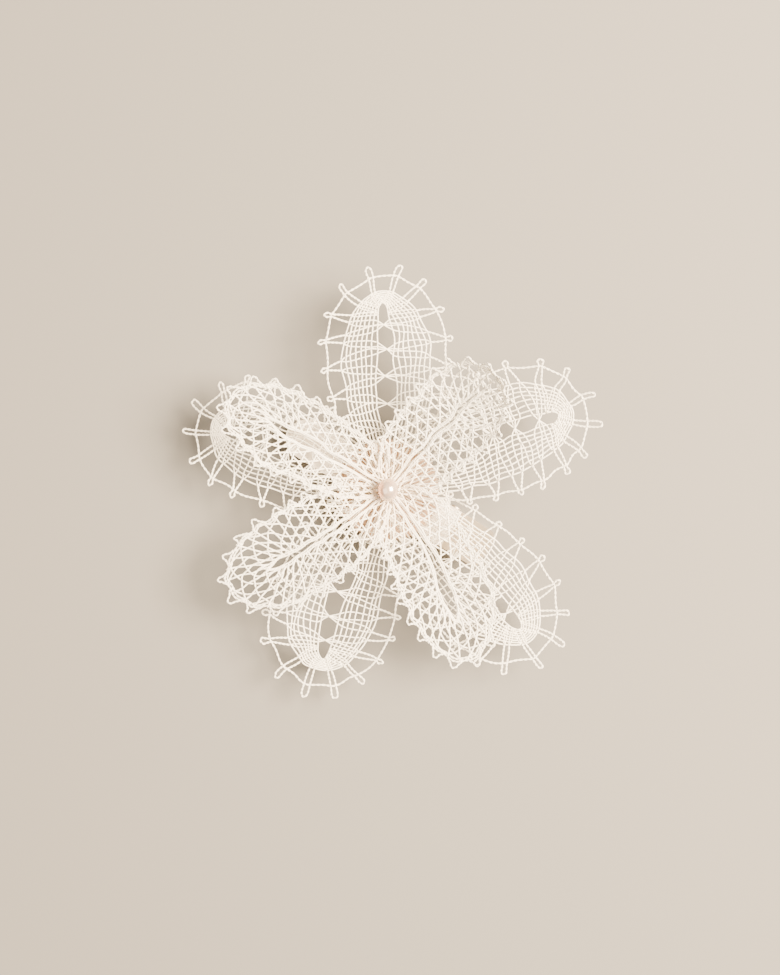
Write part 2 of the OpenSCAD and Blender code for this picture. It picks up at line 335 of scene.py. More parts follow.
class FinishBook:
    """One material's nodes, ending in a Principled shader."""

    def __init__(self, name: str) -> None:
        """Start an empty material.

        Args:
            name: the material's name.
        """
        self.material = bpy.data.materials.new(name)
        self.material.use_nodes = True
        self.tree = self.material.node_tree
        self.tree.nodes.clear()
        self.output = self.tree.nodes.new("ShaderNodeOutputMaterial")
        self.shader = self.tree.nodes.new("ShaderNodeBsdfPrincipled")
        self.tree.links.new(self.shader.outputs[0], self.output.inputs["Surface"])

    def node(self, kind: str, settings: dict[str, Any], inputs: dict[Any, Any], output: Any = 0) -> Any:
        """Add a node.

        Args:
            kind: the node's type.
            settings: its properties, such as an operation, which are set first.
            inputs: a number, colour, socket or Value for each input's name or number.
            output: which output is wanted.

        Returns:
            That output socket.
        """
        made = self.tree.nodes.new(kind)
        for key, setting in settings.items():
            setattr(made, key, setting)
        for key, wanted in inputs.items():
            self.feed(made.inputs[key], wanted)
        return made.outputs[output]

    def feed(self, socket: Any, wanted: Any) -> None:
        """Link or set one input: sockets and Values are linked, anything else is set.

        Args:
            socket: the input.
            wanted: what it gets.
        """
        wanted = wanted.socket if isinstance(wanted, Value) else wanted
        if isinstance(wanted, bpy.types.NodeSocket):
            self.tree.links.new(wanted, socket)
        elif isinstance(wanted, tuple) and socket.type == "RGBA" and len(wanted) == 3:
            socket.default_value = (*wanted, 1.0)
        else:
            socket.default_value = wanted

    def value(self, kind: str, settings: dict[str, Any], inputs: dict[Any, Any], output: Any = 0) -> Value:
        """Add a node and take its output as a Value, as node() does."""
        return Value(self, self.node(kind, settings, inputs, output))

    def place(self, turn: float = 0.0, stretch: tuple[float, float, float] = (1, 1, 1)) -> Any:
        """The point's place on the object, in metres, turned about +Z and stretched.

        Args:
            turn: angle in radians.
            stretch: factor for each axis.

        Returns:
            The place as a vector socket.
        """
        point = self.node("ShaderNodeTexCoord", {}, {}, "Object")
        turned = self.node("ShaderNodeMapping", {"vector_type": "POINT"}, {"Vector": point, "Rotation": (0, 0, turn)})
        return self.node("ShaderNodeVectorMath", {"operation": "MULTIPLY"}, {0: turned, 1: stretch})

    def noise(self, where: Any, scale: float, detail: float = 3.0, roughness: float = 0.55) -> Value:
        """Noise from 0 to 1 at a place, with scale in cells for each metre."""
        inputs = {"Vector": where, "Scale": scale, "Detail": detail, "Roughness": roughness}
        return self.value("ShaderNodeTexNoise", {}, inputs, 0)

    def blend(self, share: Any, low: Any, high: Any) -> Any:
        """Mix two colours: low where share is 0, high where it is 1."""
        settings = {"data_type": "RGBA", "blend_type": "MIX", "clamp_factor": True}
        return self.node("ShaderNodeMix", settings, {0: share, 6: low, 7: high}, 2)

    def bump(self, height: Any, strength: float, distance_mm: float) -> Any:
        """A bumped normal from a height between 0 and 1, distance_mm from low to high."""
        return self.node("ShaderNodeBump", {}, {"Strength": strength, "Distance": distance_mm * MM, "Height": height})

    def finish(self, **sockets: Any) -> bpy.types.Material:
        """Feed the shader's sockets, named with underscores for spaces, and give the material.

        Args:
            sockets: what each input gets.

        Returns:
            The material.
        """
        for name, wanted in sockets.items():
            self.feed(self.shader.inputs[name.replace("_", " ")], wanted)
        return self.material


@dataclass(frozen=True)
class ThreadFinish:
    """Spun cotton thread: two plies that wind round each other, with a soft sheen."""

    name: str
    colour: Colour
    shade: Colour
    painted_bounce_tint: Colour
    ply_pitch_mm: float = 0.75
    painted_bounce_reach_mm: float = 15.0
    painted_bounce_share: float = 0.65

    def material(self) -> bpy.types.Material:
        """Build the material.

        The ply groove is a sine wave of length along the thread plus turns round it, and the colour is painted darker
        in the grooves as painted shade.
        The painted warm bounce light is strongest at the flower's heart and fades with the square of the distance from
        the pearl's axis.

        Returns:
            The material.
        """
        book = FinishBook(self.name)
        uv = book.node("ShaderNodeUVMap", {"uv_map": "thread_uv"}, {})
        around = book.value("ShaderNodeSeparateXYZ", {}, {0: uv}, 0)
        along = Value(book, around.socket.node.outputs[1])
        ply = (along * (2 * math.pi / self.ply_pitch_mm) + around * (4 * math.pi)).sine() * 0.5 + 0.5
        fibre = book.noise(book.place(), 9000.0, 2.0)
        uneven = book.noise(book.place(), 260.0, 3.0)
        # painted shade: the colour is darker in the ply grooves; the fibre and uneven noise are the thread's own tone
        shade = book.blend((ply * 0.55 + fibre * 0.3 + uneven * 0.5).clamped(), self.shade, self.colour)
        flat = book.place(stretch=(1000 / self.painted_bounce_reach_mm, 1000 / self.painted_bounce_reach_mm, 0))
        out = book.value("ShaderNodeVectorMath", {"operation": "LENGTH"}, {0: flat}, 1)
        # painted warm bounce light: near the heart the threads are tinted towards the warm bounce colour
        heart = (1 - out).clamped() ** 1.6 * self.painted_bounce_share
        return book.finish(
            Base_Color=book.blend(heart, shade, self.painted_bounce_tint),
            Roughness=fibre * 0.2 + 0.68,
            Sheen_Weight=0.12,
            Sheen_Roughness=0.5,
            Specular_IOR_Level=0.3,
            Normal=book.bump(ply * 0.7 + fibre * 0.3, 0.8, 0.08),
        )


@dataclass(frozen=True)
class FeltFinish:
    """Pressed wool felt: cloudy colour and a matted surface."""

    name: str
    colour: Colour
    shade: Colour

    def material(self) -> bpy.types.Material:
        """Build the material: cloudy noise for colour, fine noise for the matted fibres' height.

        Returns:
            The material.
        """
        book = FinishBook(self.name)
        cloud = book.noise(book.place(), 350.0, 4.0)
        fibre = book.noise(book.place(), 4200.0, 5.0, 0.7)
        return book.finish(
            Base_Color=book.blend((cloud * 0.9 + fibre * 0.5 - 0.2).clamped(), self.shade, self.colour),
            Roughness=fibre * 0.15 + 0.82,
            Sheen_Weight=0.4,
            Sheen_Roughness=0.6,
            Specular_IOR_Level=0.2,
            Normal=book.bump(fibre, 0.8, 0.12),
        )


@dataclass(frozen=True)
class NacreFinish:
    """A pearl: warm peach nacre under a clear gloss, with faint cloudy bands."""

    name: str
    colour: Colour
    rosy: Colour
    silver: Colour

    def material(self) -> bpy.types.Material:
        """Build the material.

        Cloud noise mixes the nacre's tones and fine noise makes its faint ripple. A painted reflection tints the pearl
        rosy on its -X side, in proportion to the distance past a plane near its middle, and keeps the silver bands off
        that side.

        Returns:
            The material.
        """
        book = FinishBook(self.name)
        cloud = book.noise(book.place(), 420.0, 2.0)
        side = book.value("ShaderNodeSeparateXYZ", {}, {0: book.place()}, 0)
        # painted reflection: the pearl's -X side is tinted rosy and kept free of silver
        painted_side_reflection = (side * -900.0 - 0.7).clamped()
        band = book.noise(book.place(stretch=(1, 1, 3)), 900.0, 3.0)
        tone = book.blend((cloud * 0.9 - 0.25 + painted_side_reflection).clamped(), self.colour, self.rosy)
        return book.finish(
            Base_Color=book.blend((band * 1.4 - 0.45 - painted_side_reflection).clamped(), tone, self.silver),
            Roughness=band * 0.10 + 0.14,
            Metallic=0.5,
            Coat_Weight=1.0,
            Coat_Roughness=0.22,
            Normal=book.bump(band, 0.12, 0.03),
        )


@dataclass(frozen=True)
class MetalFinish:
    """Plated or drawn metal: fine brushing and dull patches."""

    name: str
    colour: Colour
    dull: Colour
    roughness: float
    grain_turn: float

    def material(self) -> bpy.types.Material:
        """Build the material: stretched noise is the brushing, broad noise the handling wear.

        Returns:
            The material.
        """
        book = FinishBook(self.name)
        brushed = book.noise(book.place(self.grain_turn, (0.06, 1, 1)), 9000.0, 2.0)
        handled = book.noise(book.place(), 300.0, 4.0)
        wear = (handled * 2.2 - 0.9).clamped()
        return book.finish(
            Base_Color=book.blend((wear * 0.6 + brushed * 0.3).clamped(), self.colour, self.dull),
            Metallic=1.0,
            Roughness=brushed * 0.12 + wear * 0.14 + self.roughness,
            Normal=book.bump(brushed, 0.25, 0.01),
        )


@dataclass(frozen=True)
class StageFinish:
    """The plain pale floor."""

    name: str
    colour: Colour

    def material(self) -> bpy.types.Material:
        """Build the material: one colour, fully matt."""
        return FinishBook(self.name).finish(Base_Color=self.colour, Roughness=0.95, Specular_IOR_Level=0.1)


# ---------------------------------------------------------------- petal shapes


@dataclass(frozen=True)
class Leaf:
    """The curved surface that a petal's threads lie on, the same as the petal in the design.

    Lengths are in millimetres and angles in degrees. The middle line leaves the root ring at the direction, sways
    sideways, rises, bends down and flicks up at the tip. Across it the leaf is cupped and rolled.
    """

    length: float
    half_width: float
    direction: float
    sway: float
    rise: float
    bend: float
    flick: float
    cup: float
    roll: float
    root_z: float
    root_r: float = 2.4
    steps: int = 440

    def slope(self, t: Array) -> Array:
        """Slope of the middle line at t in radians: rise plus bend times t plus flick times t cubed."""
        return np.radians(self.rise + self.bend * t + self.flick * t**3)

    def heading(self, t: Array) -> Array:
        """Direction of the middle line at t in radians: direction plus sway times t."""
        return np.radians(self.direction + self.sway * t)

    def middle(self, t: Array) -> Array:
        """Points of the middle line: the sum of small steps along its slope and heading.

        Args:
            t: shares of the length.

        Returns:
            The points, with x, y and z last.
        """
        edges = np.linspace(-0.06, 1.06, self.steps + 1)
        mids = (edges[1:] + edges[:-1]) / 2
        step = self.length * (edges[1] - edges[0])
        slope, heading = self.slope(mids), self.heading(mids)
        way = np.stack([np.cos(slope) * np.cos(heading), np.cos(slope) * np.sin(heading), np.sin(slope)])
        start = math.radians(self.direction)
        root = np.array([self.root_r * math.cos(start), self.root_r * math.sin(start), self.root_z])
        line = np.concatenate([np.zeros((3, 1)), np.cumsum(way * step, axis=1)], axis=1)
        line += (root - np.array([np.interp(0.0, edges, axis) for axis in line]))[:, None]
        return np.stack([np.interp(t, edges, axis) for axis in line], axis=-1)

    def place(self, x: Array, y: Array, h: Union[float, Array] = 0.0) -> tuple[Array, Array]:
        """Lay flat lace on the leaf.

        Across the leaf a point at y moves y (1 - (k y)^2 / 6) sideways and k y^2 / 2 up, where k is the curl, and
        both turn by the roll times t.

        Args:
            x: distance along the middle line.
            y: distance from the middle line, positive to its left.
            h: height above the lace's middle.

        Returns:
            The points and the directions square to the leaf there.
        """
        t = x / self.length
        centre, slope, heading = self.middle(t), self.slope(t), self.heading(t)
        flat = np.zeros_like(t)
        side = np.stack([-np.sin(heading), np.cos(heading), flat], -1)
        up = np.stack([-np.sin(slope) * np.cos(heading), -np.sin(slope) * np.sin(heading), np.cos(slope)], -1)
        curl = 2 * math.radians(self.cup) / self.half_width
        across = y * (1 - (curl * y) ** 2 / 6)
        lift = curl * y * y / 2
        roll = math.radians(self.roll) * t
        lean = roll + curl * y
        sideways = across * np.cos(roll) - lift * np.sin(roll)
        upward = across * np.sin(roll) + lift * np.cos(roll)
        face = up * np.cos(lean)[..., None] - side * np.sin(lean)[..., None]
        base = centre + side * sideways[..., None] + up * upward[..., None]
        return base + face * np.broadcast_to(h, t.shape)[..., None], face


# length, half width, direction, sway, rise, bend, flick, cup, roll, root height
OUTER: dict[str, Leaf] = {
    "outer_petal_top": Leaf(44.6, 14.0, 90, 4, 12, -18, 26, 8, 8, 7.6),
    "outer_petal_right": Leaf(45.4, 13.7, 33, -25, 16, -14, 18, 8, 6, 8.3),
    "outer_petal_lower_right": Leaf(46.2, 13.7, -46.5, 2, 10, -20, 12, 8, 4, 7.6),
    "outer_petal_lower_left": Leaf(44.0, 14.4, -123, 31, 6, -22, 10, 6, -4, 7.6),
    "outer_petal_left": Leaf(42.2, 13.2, 158.5, 3, 6, -20, 14, 8, 3, 7.6),
}
INNER: dict[str, Leaf] = {
    "inner_petal_upper_right": Leaf(36.5, 10.4, 50, -6, 18, 6, 46, 12, 0, 9.6),
    "inner_petal_lower_right": Leaf(38.4, 10.4, -52, -30, 14, -22, 20, 12, 0, 9.6),
    "inner_petal_lower_left": Leaf(37.8, 10.8, 218, -14, 14, -28, 16, 12, 0, 9.6),
    "inner_petal_upper_left": Leaf(37.6, 9.8, 148.5, 4, 15, -16, 26, 14, -6, 9.6),
}


@dataclass(frozen=True)
class Strip:
    """Horseshoe coordinates of a flat petal: u runs across from the middle opening outwards, m along the strip.

    u is 0 at the opening, 1 at the cloth's outer edge and 2 at the picots' tips. m is 0 at the petal's tip and
    grows down both sides, negative on the right. In the lower part equal m lies at equal x, and round the tip the
    lines of equal m fan out.
    """

    length: float
    half_width: float
    cloth_share: float
    opening_end: float
    cloth_end: float
    opening: Callable[[Array], Array]
    opening_round: float
    pitch: float
    pitch_out: float
    fan_count: float
    fan_from: float = 0.5
    widest_at: float = 0.62
    root_share: float = 0.30
    root_x: float = -1.3
    gathered: float = 0.3
    gather_x: float = 7.0
    levels: int = 61
    grain: int = 40

    @property
    def m_max(self) -> float:
        """The m of the petal's root."""
        return self.fan_count + (self.fan_from * self.length - self.root_x) / self.pitch_out

    def half(self, u: float, x: Array, t: Array) -> Array:
        """Half width of the curve at level u.

        The opening, the cloth and the picots each have a half width that rises as a sine to the widest place;
        levels between them are mixed, and a quarter ellipse closes each curve at its own tip. Near the root the
        half width also shrinks with the square root of the distance, where the stitches gather it.

        Args:
            u: level.
            x: distances from the root.
            t: shares of the way to the tip, eased.

        Returns:
            The half width at each x.
        """
        rise = self.root_share + (1 - self.root_share) * np.sin(
            math.pi / 2 * np.clip(x / (self.widest_at * self.length), 0, 1)
        )
        gather = self.gathered + (1 - self.gathered) * np.sqrt(np.clip((x - self.root_x) / self.gather_x, 0, 1))
        full = self.half_width * rise * gather
        cloth = full * self.cloth_share
        wide = self.opening(x) * (1 - u) + cloth * u if u <= 1 else cloth * (2 - u) + full * (u - 1)
        start = self.opening_round + (self.widest_at - self.opening_round) * min(u, 1.0) ** 0.6
        return wide * np.sqrt(np.clip(1 - (np.clip(t - start, 0, None) / (1 - start)) ** 2, 0, 1))

    def end(self, u: float) -> float:
        """Distance from the root to the tip of the curve at level u.

        Args:
            u: level.

        Returns:
            The distance.
        """
        low, mid, high = self.opening_end, self.cloth_end, 1.0
        share = low * (1 - u) + mid * u if u <= 1 else mid * (2 - u) + high * (u - 1)
        return share * self.length

    def table(self) -> Row:
        """Work out the grid of x and y for every level and m.

        Each level's curve is walked by its own length. Low down, x falls with the share of m below the fan,
        first at the level's own pitch and then so that every level reaches the root together. Round the tip the
        walk is shared out evenly. Both are averaged over a short stretch of m so that nothing kinks.

        Returns:
            The values of m, and x and y as levels by m.
        """
        m = np.linspace(0, self.m_max, int(self.m_max * self.grain))
        t = 1 - (1 - np.linspace(0, 1, 700)) ** 2
        x_fan = self.fan_from * self.length
        xs, ys = [], []
        for u in np.linspace(0, 2, self.levels):
            x = self.root_x + (self.end(u) - self.root_x) * t
            y = self.half(u, x, t)
            walk = np.concatenate([[0], np.cumsum(np.hypot(np.diff(x), np.diff(y)))])
            at_fan, total = np.interp(x_fan, x, walk), walk[-1]
            blur = np.linspace(-0.12, 0.12, 9)[:, None] * self.fan_count
            wide = m + blur
            below = (wide - self.fan_count) / (self.m_max - self.fan_count)
            first = (self.pitch + (self.pitch_out - self.pitch) * u / 2) / self.pitch_out
            low = np.interp(x_fan - (x_fan - self.root_x) * below * (first + (1 - first) * below), x, walk)
            high = total - (total - at_fan) * wide / self.fan_count
            place = np.where(wide > self.fan_count, low, high).mean(0)
            xs.append(np.interp(place, walk, x))
            ys.append(np.interp(place, walk, y))
        return m, np.array(xs), np.array(ys)


class StripMap:
    """Looks up flat places in a strip's table."""

    def __init__(self, strip: Strip) -> None:
        """Work out the strip's table once."""
        self.strip = strip
        self.m, self.x, self.y = strip.table()

    def flat(self, u: Array, m: Array) -> tuple[Array, Array]:
        """Flat x and y at (u, m), by straight steps between the table's four nearest entries.

        Args:
            u: level; from 0 down to -1 it goes from the opening's edge to the middle line.
            m: place along the strip; negative is the right-hand side.

        Returns:
            The x and y arrays in millimetres.
        """
        u, m = np.broadcast_arrays(u, m)
        row = np.clip(u, 0, 2) * (self.strip.levels - 1) / 2
        col = np.clip(np.abs(m), 0, self.m[-1]) / (self.m[1] - self.m[0])
        i = np.minimum(row.astype(int), self.strip.levels - 2)
        j = np.minimum(col.astype(int), len(self.m) - 2)
        f, g = row - i, col - j
        found = []
        for grid in (self.x, self.y):
            low = grid[i, j] * (1 - g) + grid[i, j + 1] * g
            high = grid[i + 1, j] * (1 - g) + grid[i + 1, j + 1] * g
            found.append(low * (1 - f) + high * f)
        x, y = found
        return x, y * np.clip(1 + np.minimum(u, 0), 0, 1) * np.where(m < 0, -1.0, 1.0)


@dataclass
class LacePetal:
    """A petal of bobbin lace: threads laid in flat coordinates, then carried onto the petal's leaf."""

    node: str
    leaf: Leaf
    seed: int
    finish: bpy.types.Material
    thread_r: float = 0.15
    strand_r: float = 0.115
    strand_gap: float = 0.93
    weave_h: float = 0.15
    overlap: float = 0.75
    root_share: float = 0.5
    uneven: float = 0.26
    pleat_h: float = 0.35
    pleat_reach: float = 13.0
    ridge: float = 0.0
    ridge_reach: float = 15.0
    ridge_half: float = 1.3
    ripple_h: float = 0.28
    ripple_long: float = 17.0
    outline_share: float = 0.72

    def __post_init__(self) -> None:
        """Start the petal's own random draws and its list of tubes."""
        self.rng = np.random.default_rng(self.seed)
        self.skins: list[Skin] = []
        self.map = StripMap(self.strip())

    def strip(self) -> Strip:
        """The petal's horseshoe coordinates."""
        raise NotImplementedError

    def weave(self) -> None:
        """Lay every thread."""
        raise NotImplementedError

    def settle(self, x: Array, y: Array, h: Union[float, Array]) -> tuple[Array, Array]:
        """Lay flat threads on the leaf, with the pleats at the root and the soft ripple of the rim.

        The pleats are a cosine across the petal that dies away with the square of the distance from the root; the
        ripple is a sine along the petal that grows with the square of the distance from the middle line. A petal
        with a ridge is folded up along its middle near the root.

        Args:
            x: flat distance along.
            y: flat distance across.
            h: height above the lace's middle.

        Returns:
            The points and the directions square to the leaf there.
        """
        flat = np.stack([x, y, np.zeros_like(x)], -1)
        x = x + self.uneven * waves(flat, self.seed + 101, 0.13)
        y = y + self.uneven * waves(flat, self.seed + 202, 0.16) * np.clip(x / 8.0, 0, 1)
        near = np.clip(1 - x / self.pleat_reach, 0, 1) ** 2
        rise = np.sin(math.pi / 2 * np.clip(x / (0.62 * self.leaf.length), 0, 1))
        half = self.leaf.half_width * (self.root_share + (1 - self.root_share) * rise)
        across = y / np.maximum(half, 0.5)
        pleat = near * (self.pleat_h * np.cos(2.6 * math.pi * across + self.seed) + self.overlap * across)
        fold = np.sin(math.pi * np.clip((x + 1) / self.ridge_reach, 0, 1)) ** 2 * np.exp(-((y / self.ridge_half) ** 2))
        phase = 2 * math.pi * x / self.ripple_long + self.seed + 1.5 * np.sign(y)
        ripple = self.ripple_h * across**2 * np.sin(phase)
        return self.leaf.place(x, y, h + pleat + self.ridge * fold + ripple * np.clip(x / 14.0, 0, 1))

    def lay(self, x: Array, y: Array, h: Union[float, Array] = 0.0, share: float = 1.0) -> None:
        """Lay single threads.

        Args:
            x: flat distance along, threads by points.
            y: flat distance across, the same shape.
            h: height above the lace's middle.
            share: thickness as a share of the petal's own thread.
        """
        points, faces = self.settle(x, y, h)
        self.skins.append(sweep(points, faces, self.thread_r * share))

    def lay_rows(self, rows: list[Row], share: float = 1.0) -> None:
        """Lay single threads given one by one, each as its flat x, flat y and height."""
        self.lay(*(np.array(part) for part in zip(*rows)), share)

    def whole(self, count: int) -> Array:
        """Places along the whole strip, from the root of one side round the tip to the root of the other."""
        return np.linspace(-self.map.strip.m_max, self.map.strip.m_max, count)

    def lay_pair(self, x: Array, y: Array, h: Union[float, Array] = 0.0, pitch: float = 1.7) -> None:
        """Lay pairs of threads that twist round each other.

        Each strand stands off the pair's middle by its radius, at an angle that turns once in each pitch.

        Args:
            x: flat distance along, pairs by points.
            y: flat distance across, the same shape.
            h: height above the lace's middle.
            pitch: length of one whole turn.
        """
        points, faces = self.settle(x, y, h)
        along = unit(np.gradient(points, axis=1))
        aside = np.cross(faces, along)
        step = np.linalg.norm(np.diff(points, axis=1), axis=-1)
        length = np.concatenate([np.zeros((len(points), 1)), np.cumsum(step, axis=1)], axis=1)
        turn = 2 * math.pi * length / pitch
        off = self.strand_r * self.strand_gap * (np.cos(turn)[..., None] * aside + np.sin(turn)[..., None] * faces)
        both = np.concatenate([points + off, points - off])
        self.skins.append(sweep(both, np.concatenate([faces, faces]), self.strand_r))

    def build(self) -> None:
        self.weave()
        piece = make_piece(f"{self.node}_lace", join_skins(self.skins))
        dress(piece, self.finish, Body.FLOWER, Slot.LACE, self.node)
        width, length = 2 * self.leaf.half_width, self.leaf.length
        area = self.outline_share * width * length * MM * MM
        width * MM
        length * MM


@dataclass
class ClothStitchPetal(LacePetal):
    """An outer petal: a woven horseshoe round a row of eyelets, with worker legs out to an edge thread and picots."""

    passives: int = 8
    eyelet_tip: float = 0.85
    eyelet_base: float = 2.7
    row_middle: float = 0.36
    leg_middle: float = 0.20
    leg_closing: float = 0.09
    part_least: float = 0.035
    part_cloth: float = 0.19
    part_opening: float = 0.125
    tip_closing: float = 0.35
    cloth_edge_u: float = 1.04
    weft_steps: int = 34
    weft_share: float = 0.87
    edge_u: float = 1.70
    edge_closing: float = 0.16
    edge_twist: float = 2.1

    def strip(self) -> Strip:
        """Horseshoe coordinates, one m for each picot.

        Returns:
            The coordinates.
        """
        length = self.leaf.length

        def opening(x: Array) -> Array:
            """Half width of the eyelet row: wide low down, narrower at the tip, closed at the root.

            Args:
                x: distances from the root.

            Returns:
                The half width at each x.
            """
            share = np.clip(1 - x / (0.81 * length), 0, 1) ** 0.6
            wide = self.eyelet_tip + (self.eyelet_base - self.eyelet_tip) * share
            return wide * np.clip((x - 7.0) / 8.0, 0.06, 1)

        return Strip(
            length=length,
            half_width=self.leaf.half_width,
            cloth_share=0.665,
            opening_end=0.81,
            cloth_end=0.868,
            opening=opening,
            opening_round=0.95,
            pitch=4.75,
            pitch_out=5.7,
            fan_count=2.75,
            fan_from=0.74,
            root_share=self.root_share,
        )

    @staticmethod
    def tipness(m: Array) -> Array:
        """1 at the two tip picots, falling evenly to 0 by the third on each side."""
        return np.clip(1 - (np.abs(m) - 0.5) / 2.0, 0, 1)

    def row_offset(self, u: Array, picot: Array, outer: Array) -> Array:
        """How far a weft thread lies from its picot's m.

        The row's middle runs evenly from its place at the opening to the leg's place at the cloth's edge. Its two
        threads part by about a quarter in the cloth, and close in towards both ends and towards the petal's tip.

        Args:
            u: level across the strip.
            picot: m of the picot.
            outer: 1 for the row's far thread, -1 for its near one.

        Returns:
            The distance in m.
        """
        v = np.clip(u, 0, 1)
        leg = self.leg_middle - self.leg_closing * self.tipness(picot)
        middle = self.row_middle + (leg - self.row_middle) * v
        part = self.part_least + self.part_cloth * (1 - (2 * v - 1) ** 4) + self.part_opening * (1 - v) ** 2
        part = part * (1 - self.tip_closing * self.tipness(picot))
        return middle + outer * part / 2

    def weave(self) -> None:
        """Lay the passives, the weft with its crossings, the picots and the edge thread."""
        even = np.arange(int(self.map.strip.m_max - 0.2)) + 0.5
        left = even + self.rng.uniform(-0.05, 0.05, len(even))
        right = even + self.rng.uniform(-0.05, 0.05, len(even))
        every = np.concatenate([-right[::-1], left])
        self.lay_passives(left, right)
        self.lay_weft(left, right)
        self.lay_picots(every)
        self.lay_edge(every)

    def weft_marks(self, u: float, picots: Array) -> Array:
        """Where one side's weft threads cross the level u, from the tip down.

        Args:
            u: level.
            picots: m of that side's picots.

        Returns:
            The m of each place, sorted.
        """
        offsets = np.array([self.row_offset(np.array(u), picots, k) for k in (-1.0, 1.0)])
        marks = np.concatenate([picots - offsets[1], picots - offsets[0], picots + offsets[0], picots + offsets[1]])
        return np.sort(marks)

    def lay_passives(self, left: Array, right: Array) -> None:
        """Lay the lengthwise threads over and under the weft: height is a cosine that turns over at each weft.

        Args:
            left: m of the left-hand picots.
            right: m of the right-hand picots.
        """
        m = self.whole(300)
        drift = waves(np.stack([m, 0 * m, 0 * m], -1), self.seed + 5, 0.35) * 0.006
        rows = []
        for j in range(self.passives):
            u = j / (self.passives - 1)
            marks = np.concatenate([-self.weft_marks(u, right)[::-1], self.weft_marks(u, left)])
            count = np.interp(m, marks, np.arange(len(marks)))
            level = np.clip(u + drift * (1 + j % 3), 0, 1.05)
            x, y = self.map.flat(level, m)
            crowd = np.clip(1 - x / 10.0, 0, 1) ** 2 * (0.35 * (-1) ** j)
            rows.append((x, y, self.weave_h * np.cos(math.pi * (count + j)) + crowd))
        self.lay_rows(rows)

    def lay_weft(self, left: Array, right: Array) -> None:
        """Lay the workers: round the tip each turns back at the opening, lower down it crosses to the other side.

        Args:
            left: m of the left-hand picots.
            right: m of the right-hand picots.
        """
        rows = []
        for k in range(len(left)):
            # the worker that comes in on the tip side of crossing k leaves on its root side
            for tip_side, root_side, sign in ((left, right, 1.0), (right, left, -1.0)):
                for thread in (-1.0, 1.0):
                    if 0 < k < self.map.strip.fan_count:
                        rows.append(self.turn_back(tip_side[k - 1], tip_side[k], sign, thread))
                    elif k:
                        rows.append(self.crossing(k, tip_side[k - 1], root_side[k], sign, thread))
                    elif sign > 0:
                        rows.append(self.crossing(k, left[0], right[0], sign, thread))
        self.lay_rows(rows, self.weft_share)

    def crossing(self, k: int, first: float, second: float, sign: float, thread: float) -> Row:
        """A worker that goes across one side, through the crossing between two eyelets, and across the other side.

        Args:
            k: the crossing's number from the tip, which is also its m.
            first: m of the picot it comes from.
            second: m of the picot it goes to.
            sign: 1 where it comes from the left-hand side, -1 from the right.
            thread: 1 for the far thread, -1 for the near one.

        Returns:
            Its flat x, flat y and height.
        """
        u = np.linspace(self.cloth_edge_u, -1, self.weft_steps)
        gap = np.clip(-u, 0, 1)
        if k:
            m_in = first + self.row_offset(u, first, thread)
            m_out = second - self.row_offset(u, second, -thread)
        else:
            m_in, m_out = (mark - self.row_offset(u, mark, thread) for mark in (first, second))
        ends = [self.map.flat(u, np.maximum(m + (k - m) * gap, 0.001)) for m in (m_in, m_out)]
        rank = 4 * k + (thread > 0)
        wave = np.where(
            u > 0,
            -self.weave_h * np.cos(math.pi * (rank + (self.passives - 1) * u)),
            -self.weave_h * math.cos(math.pi * rank) * (1 - gap) + 0.12 * sign * gap,
        )
        (x_in, y_in), (x_out, y_out) = ends
        join = self.there_and_back
        return join(x_in, x_out), join(y_in, -y_out) * sign, join(wave, wave)

    def turn_back(self, first: float, second: float, sign: float, thread: float) -> Row:
        """A worker that goes in to the innermost passive round the tip and comes back out on the same side.

        Args:
            first: m of the picot it comes from.
            second: m of the picot it goes back to.
            sign: 1 on the left-hand side, -1 on the right.
            thread: 1 for the far thread, -1 for the near one.

        Returns:
            Its flat x, flat y and height.
        """
        u = np.linspace(self.cloth_edge_u, 0.0, self.weft_steps)
        x_in, y_in = self.map.flat(u, first + self.row_offset(u, first, thread))
        x_out, y_out = self.map.flat(u, second - self.row_offset(u, second, thread))
        wave = -self.weave_h * np.cos(math.pi * ((thread > 0) + (self.passives - 1) * u))
        join = self.there_and_back
        return join(x_in, x_out), join(y_in, y_out) * sign, join(wave, wave)

    @staticmethod
    def there_and_back(inward: Array, outward: Array) -> Array:
        """One row from the way in and, turned round, the way out, which share their last point."""
        return np.concatenate([inward[:-1], outward[::-1]])

    def lay_picots(self, marks: Array) -> None:
        """Lay each picot: two twisted legs that close in at the edge thread and end in a ring.

        At the petal's tip the legs run side by side and the ring is a long loop. Each picot is a smooth curve
        through (level, offset in m) knots, mixed between the two forms by how near the tip it is.

        Args:
            marks: m of every picot.
        """
        ring = mirrored(
            [[0.97, 0.20], [1.20, 0.155], [1.45, 0.10], [1.64, 0.055], [1.76, 0.06], [1.89, 0.085], [2.0, 0.0]]
        )
        loop = mirrored(
            [[0.97, 0.10], [1.20, 0.10], [1.40, 0.095], [1.60, 0.09], [1.80, 0.09], [1.94, 0.065], [2.0, 0.0]]
        )
        near = self.tipness(marks)[:, None, None]
        knots = ring * (1 - near) + loop * near
        stretch = self.rng.uniform(-0.05, 0.05, (len(marks), 1))
        lean = self.rng.uniform(-0.06, 0.06, (len(marks), 1))
        level = 1 + (knots[..., 0] - 1) * (1 + stretch)
        m = marks[:, None] + knots[..., 1] + lean * np.clip(level - 1, 0, 1) ** 2
        steps = 66
        path = smooth_path(np.stack([np.minimum(level, 2.0), m], -1), steps)
        x, y = self.map.flat(path[..., 0], path[..., 1])
        over = 0.16 * np.sin(2 * math.pi * np.linspace(0, 1, steps)) * np.clip(path[..., 0] - 1.3, 0, 1)
        self.lay_pair(x, y, over)

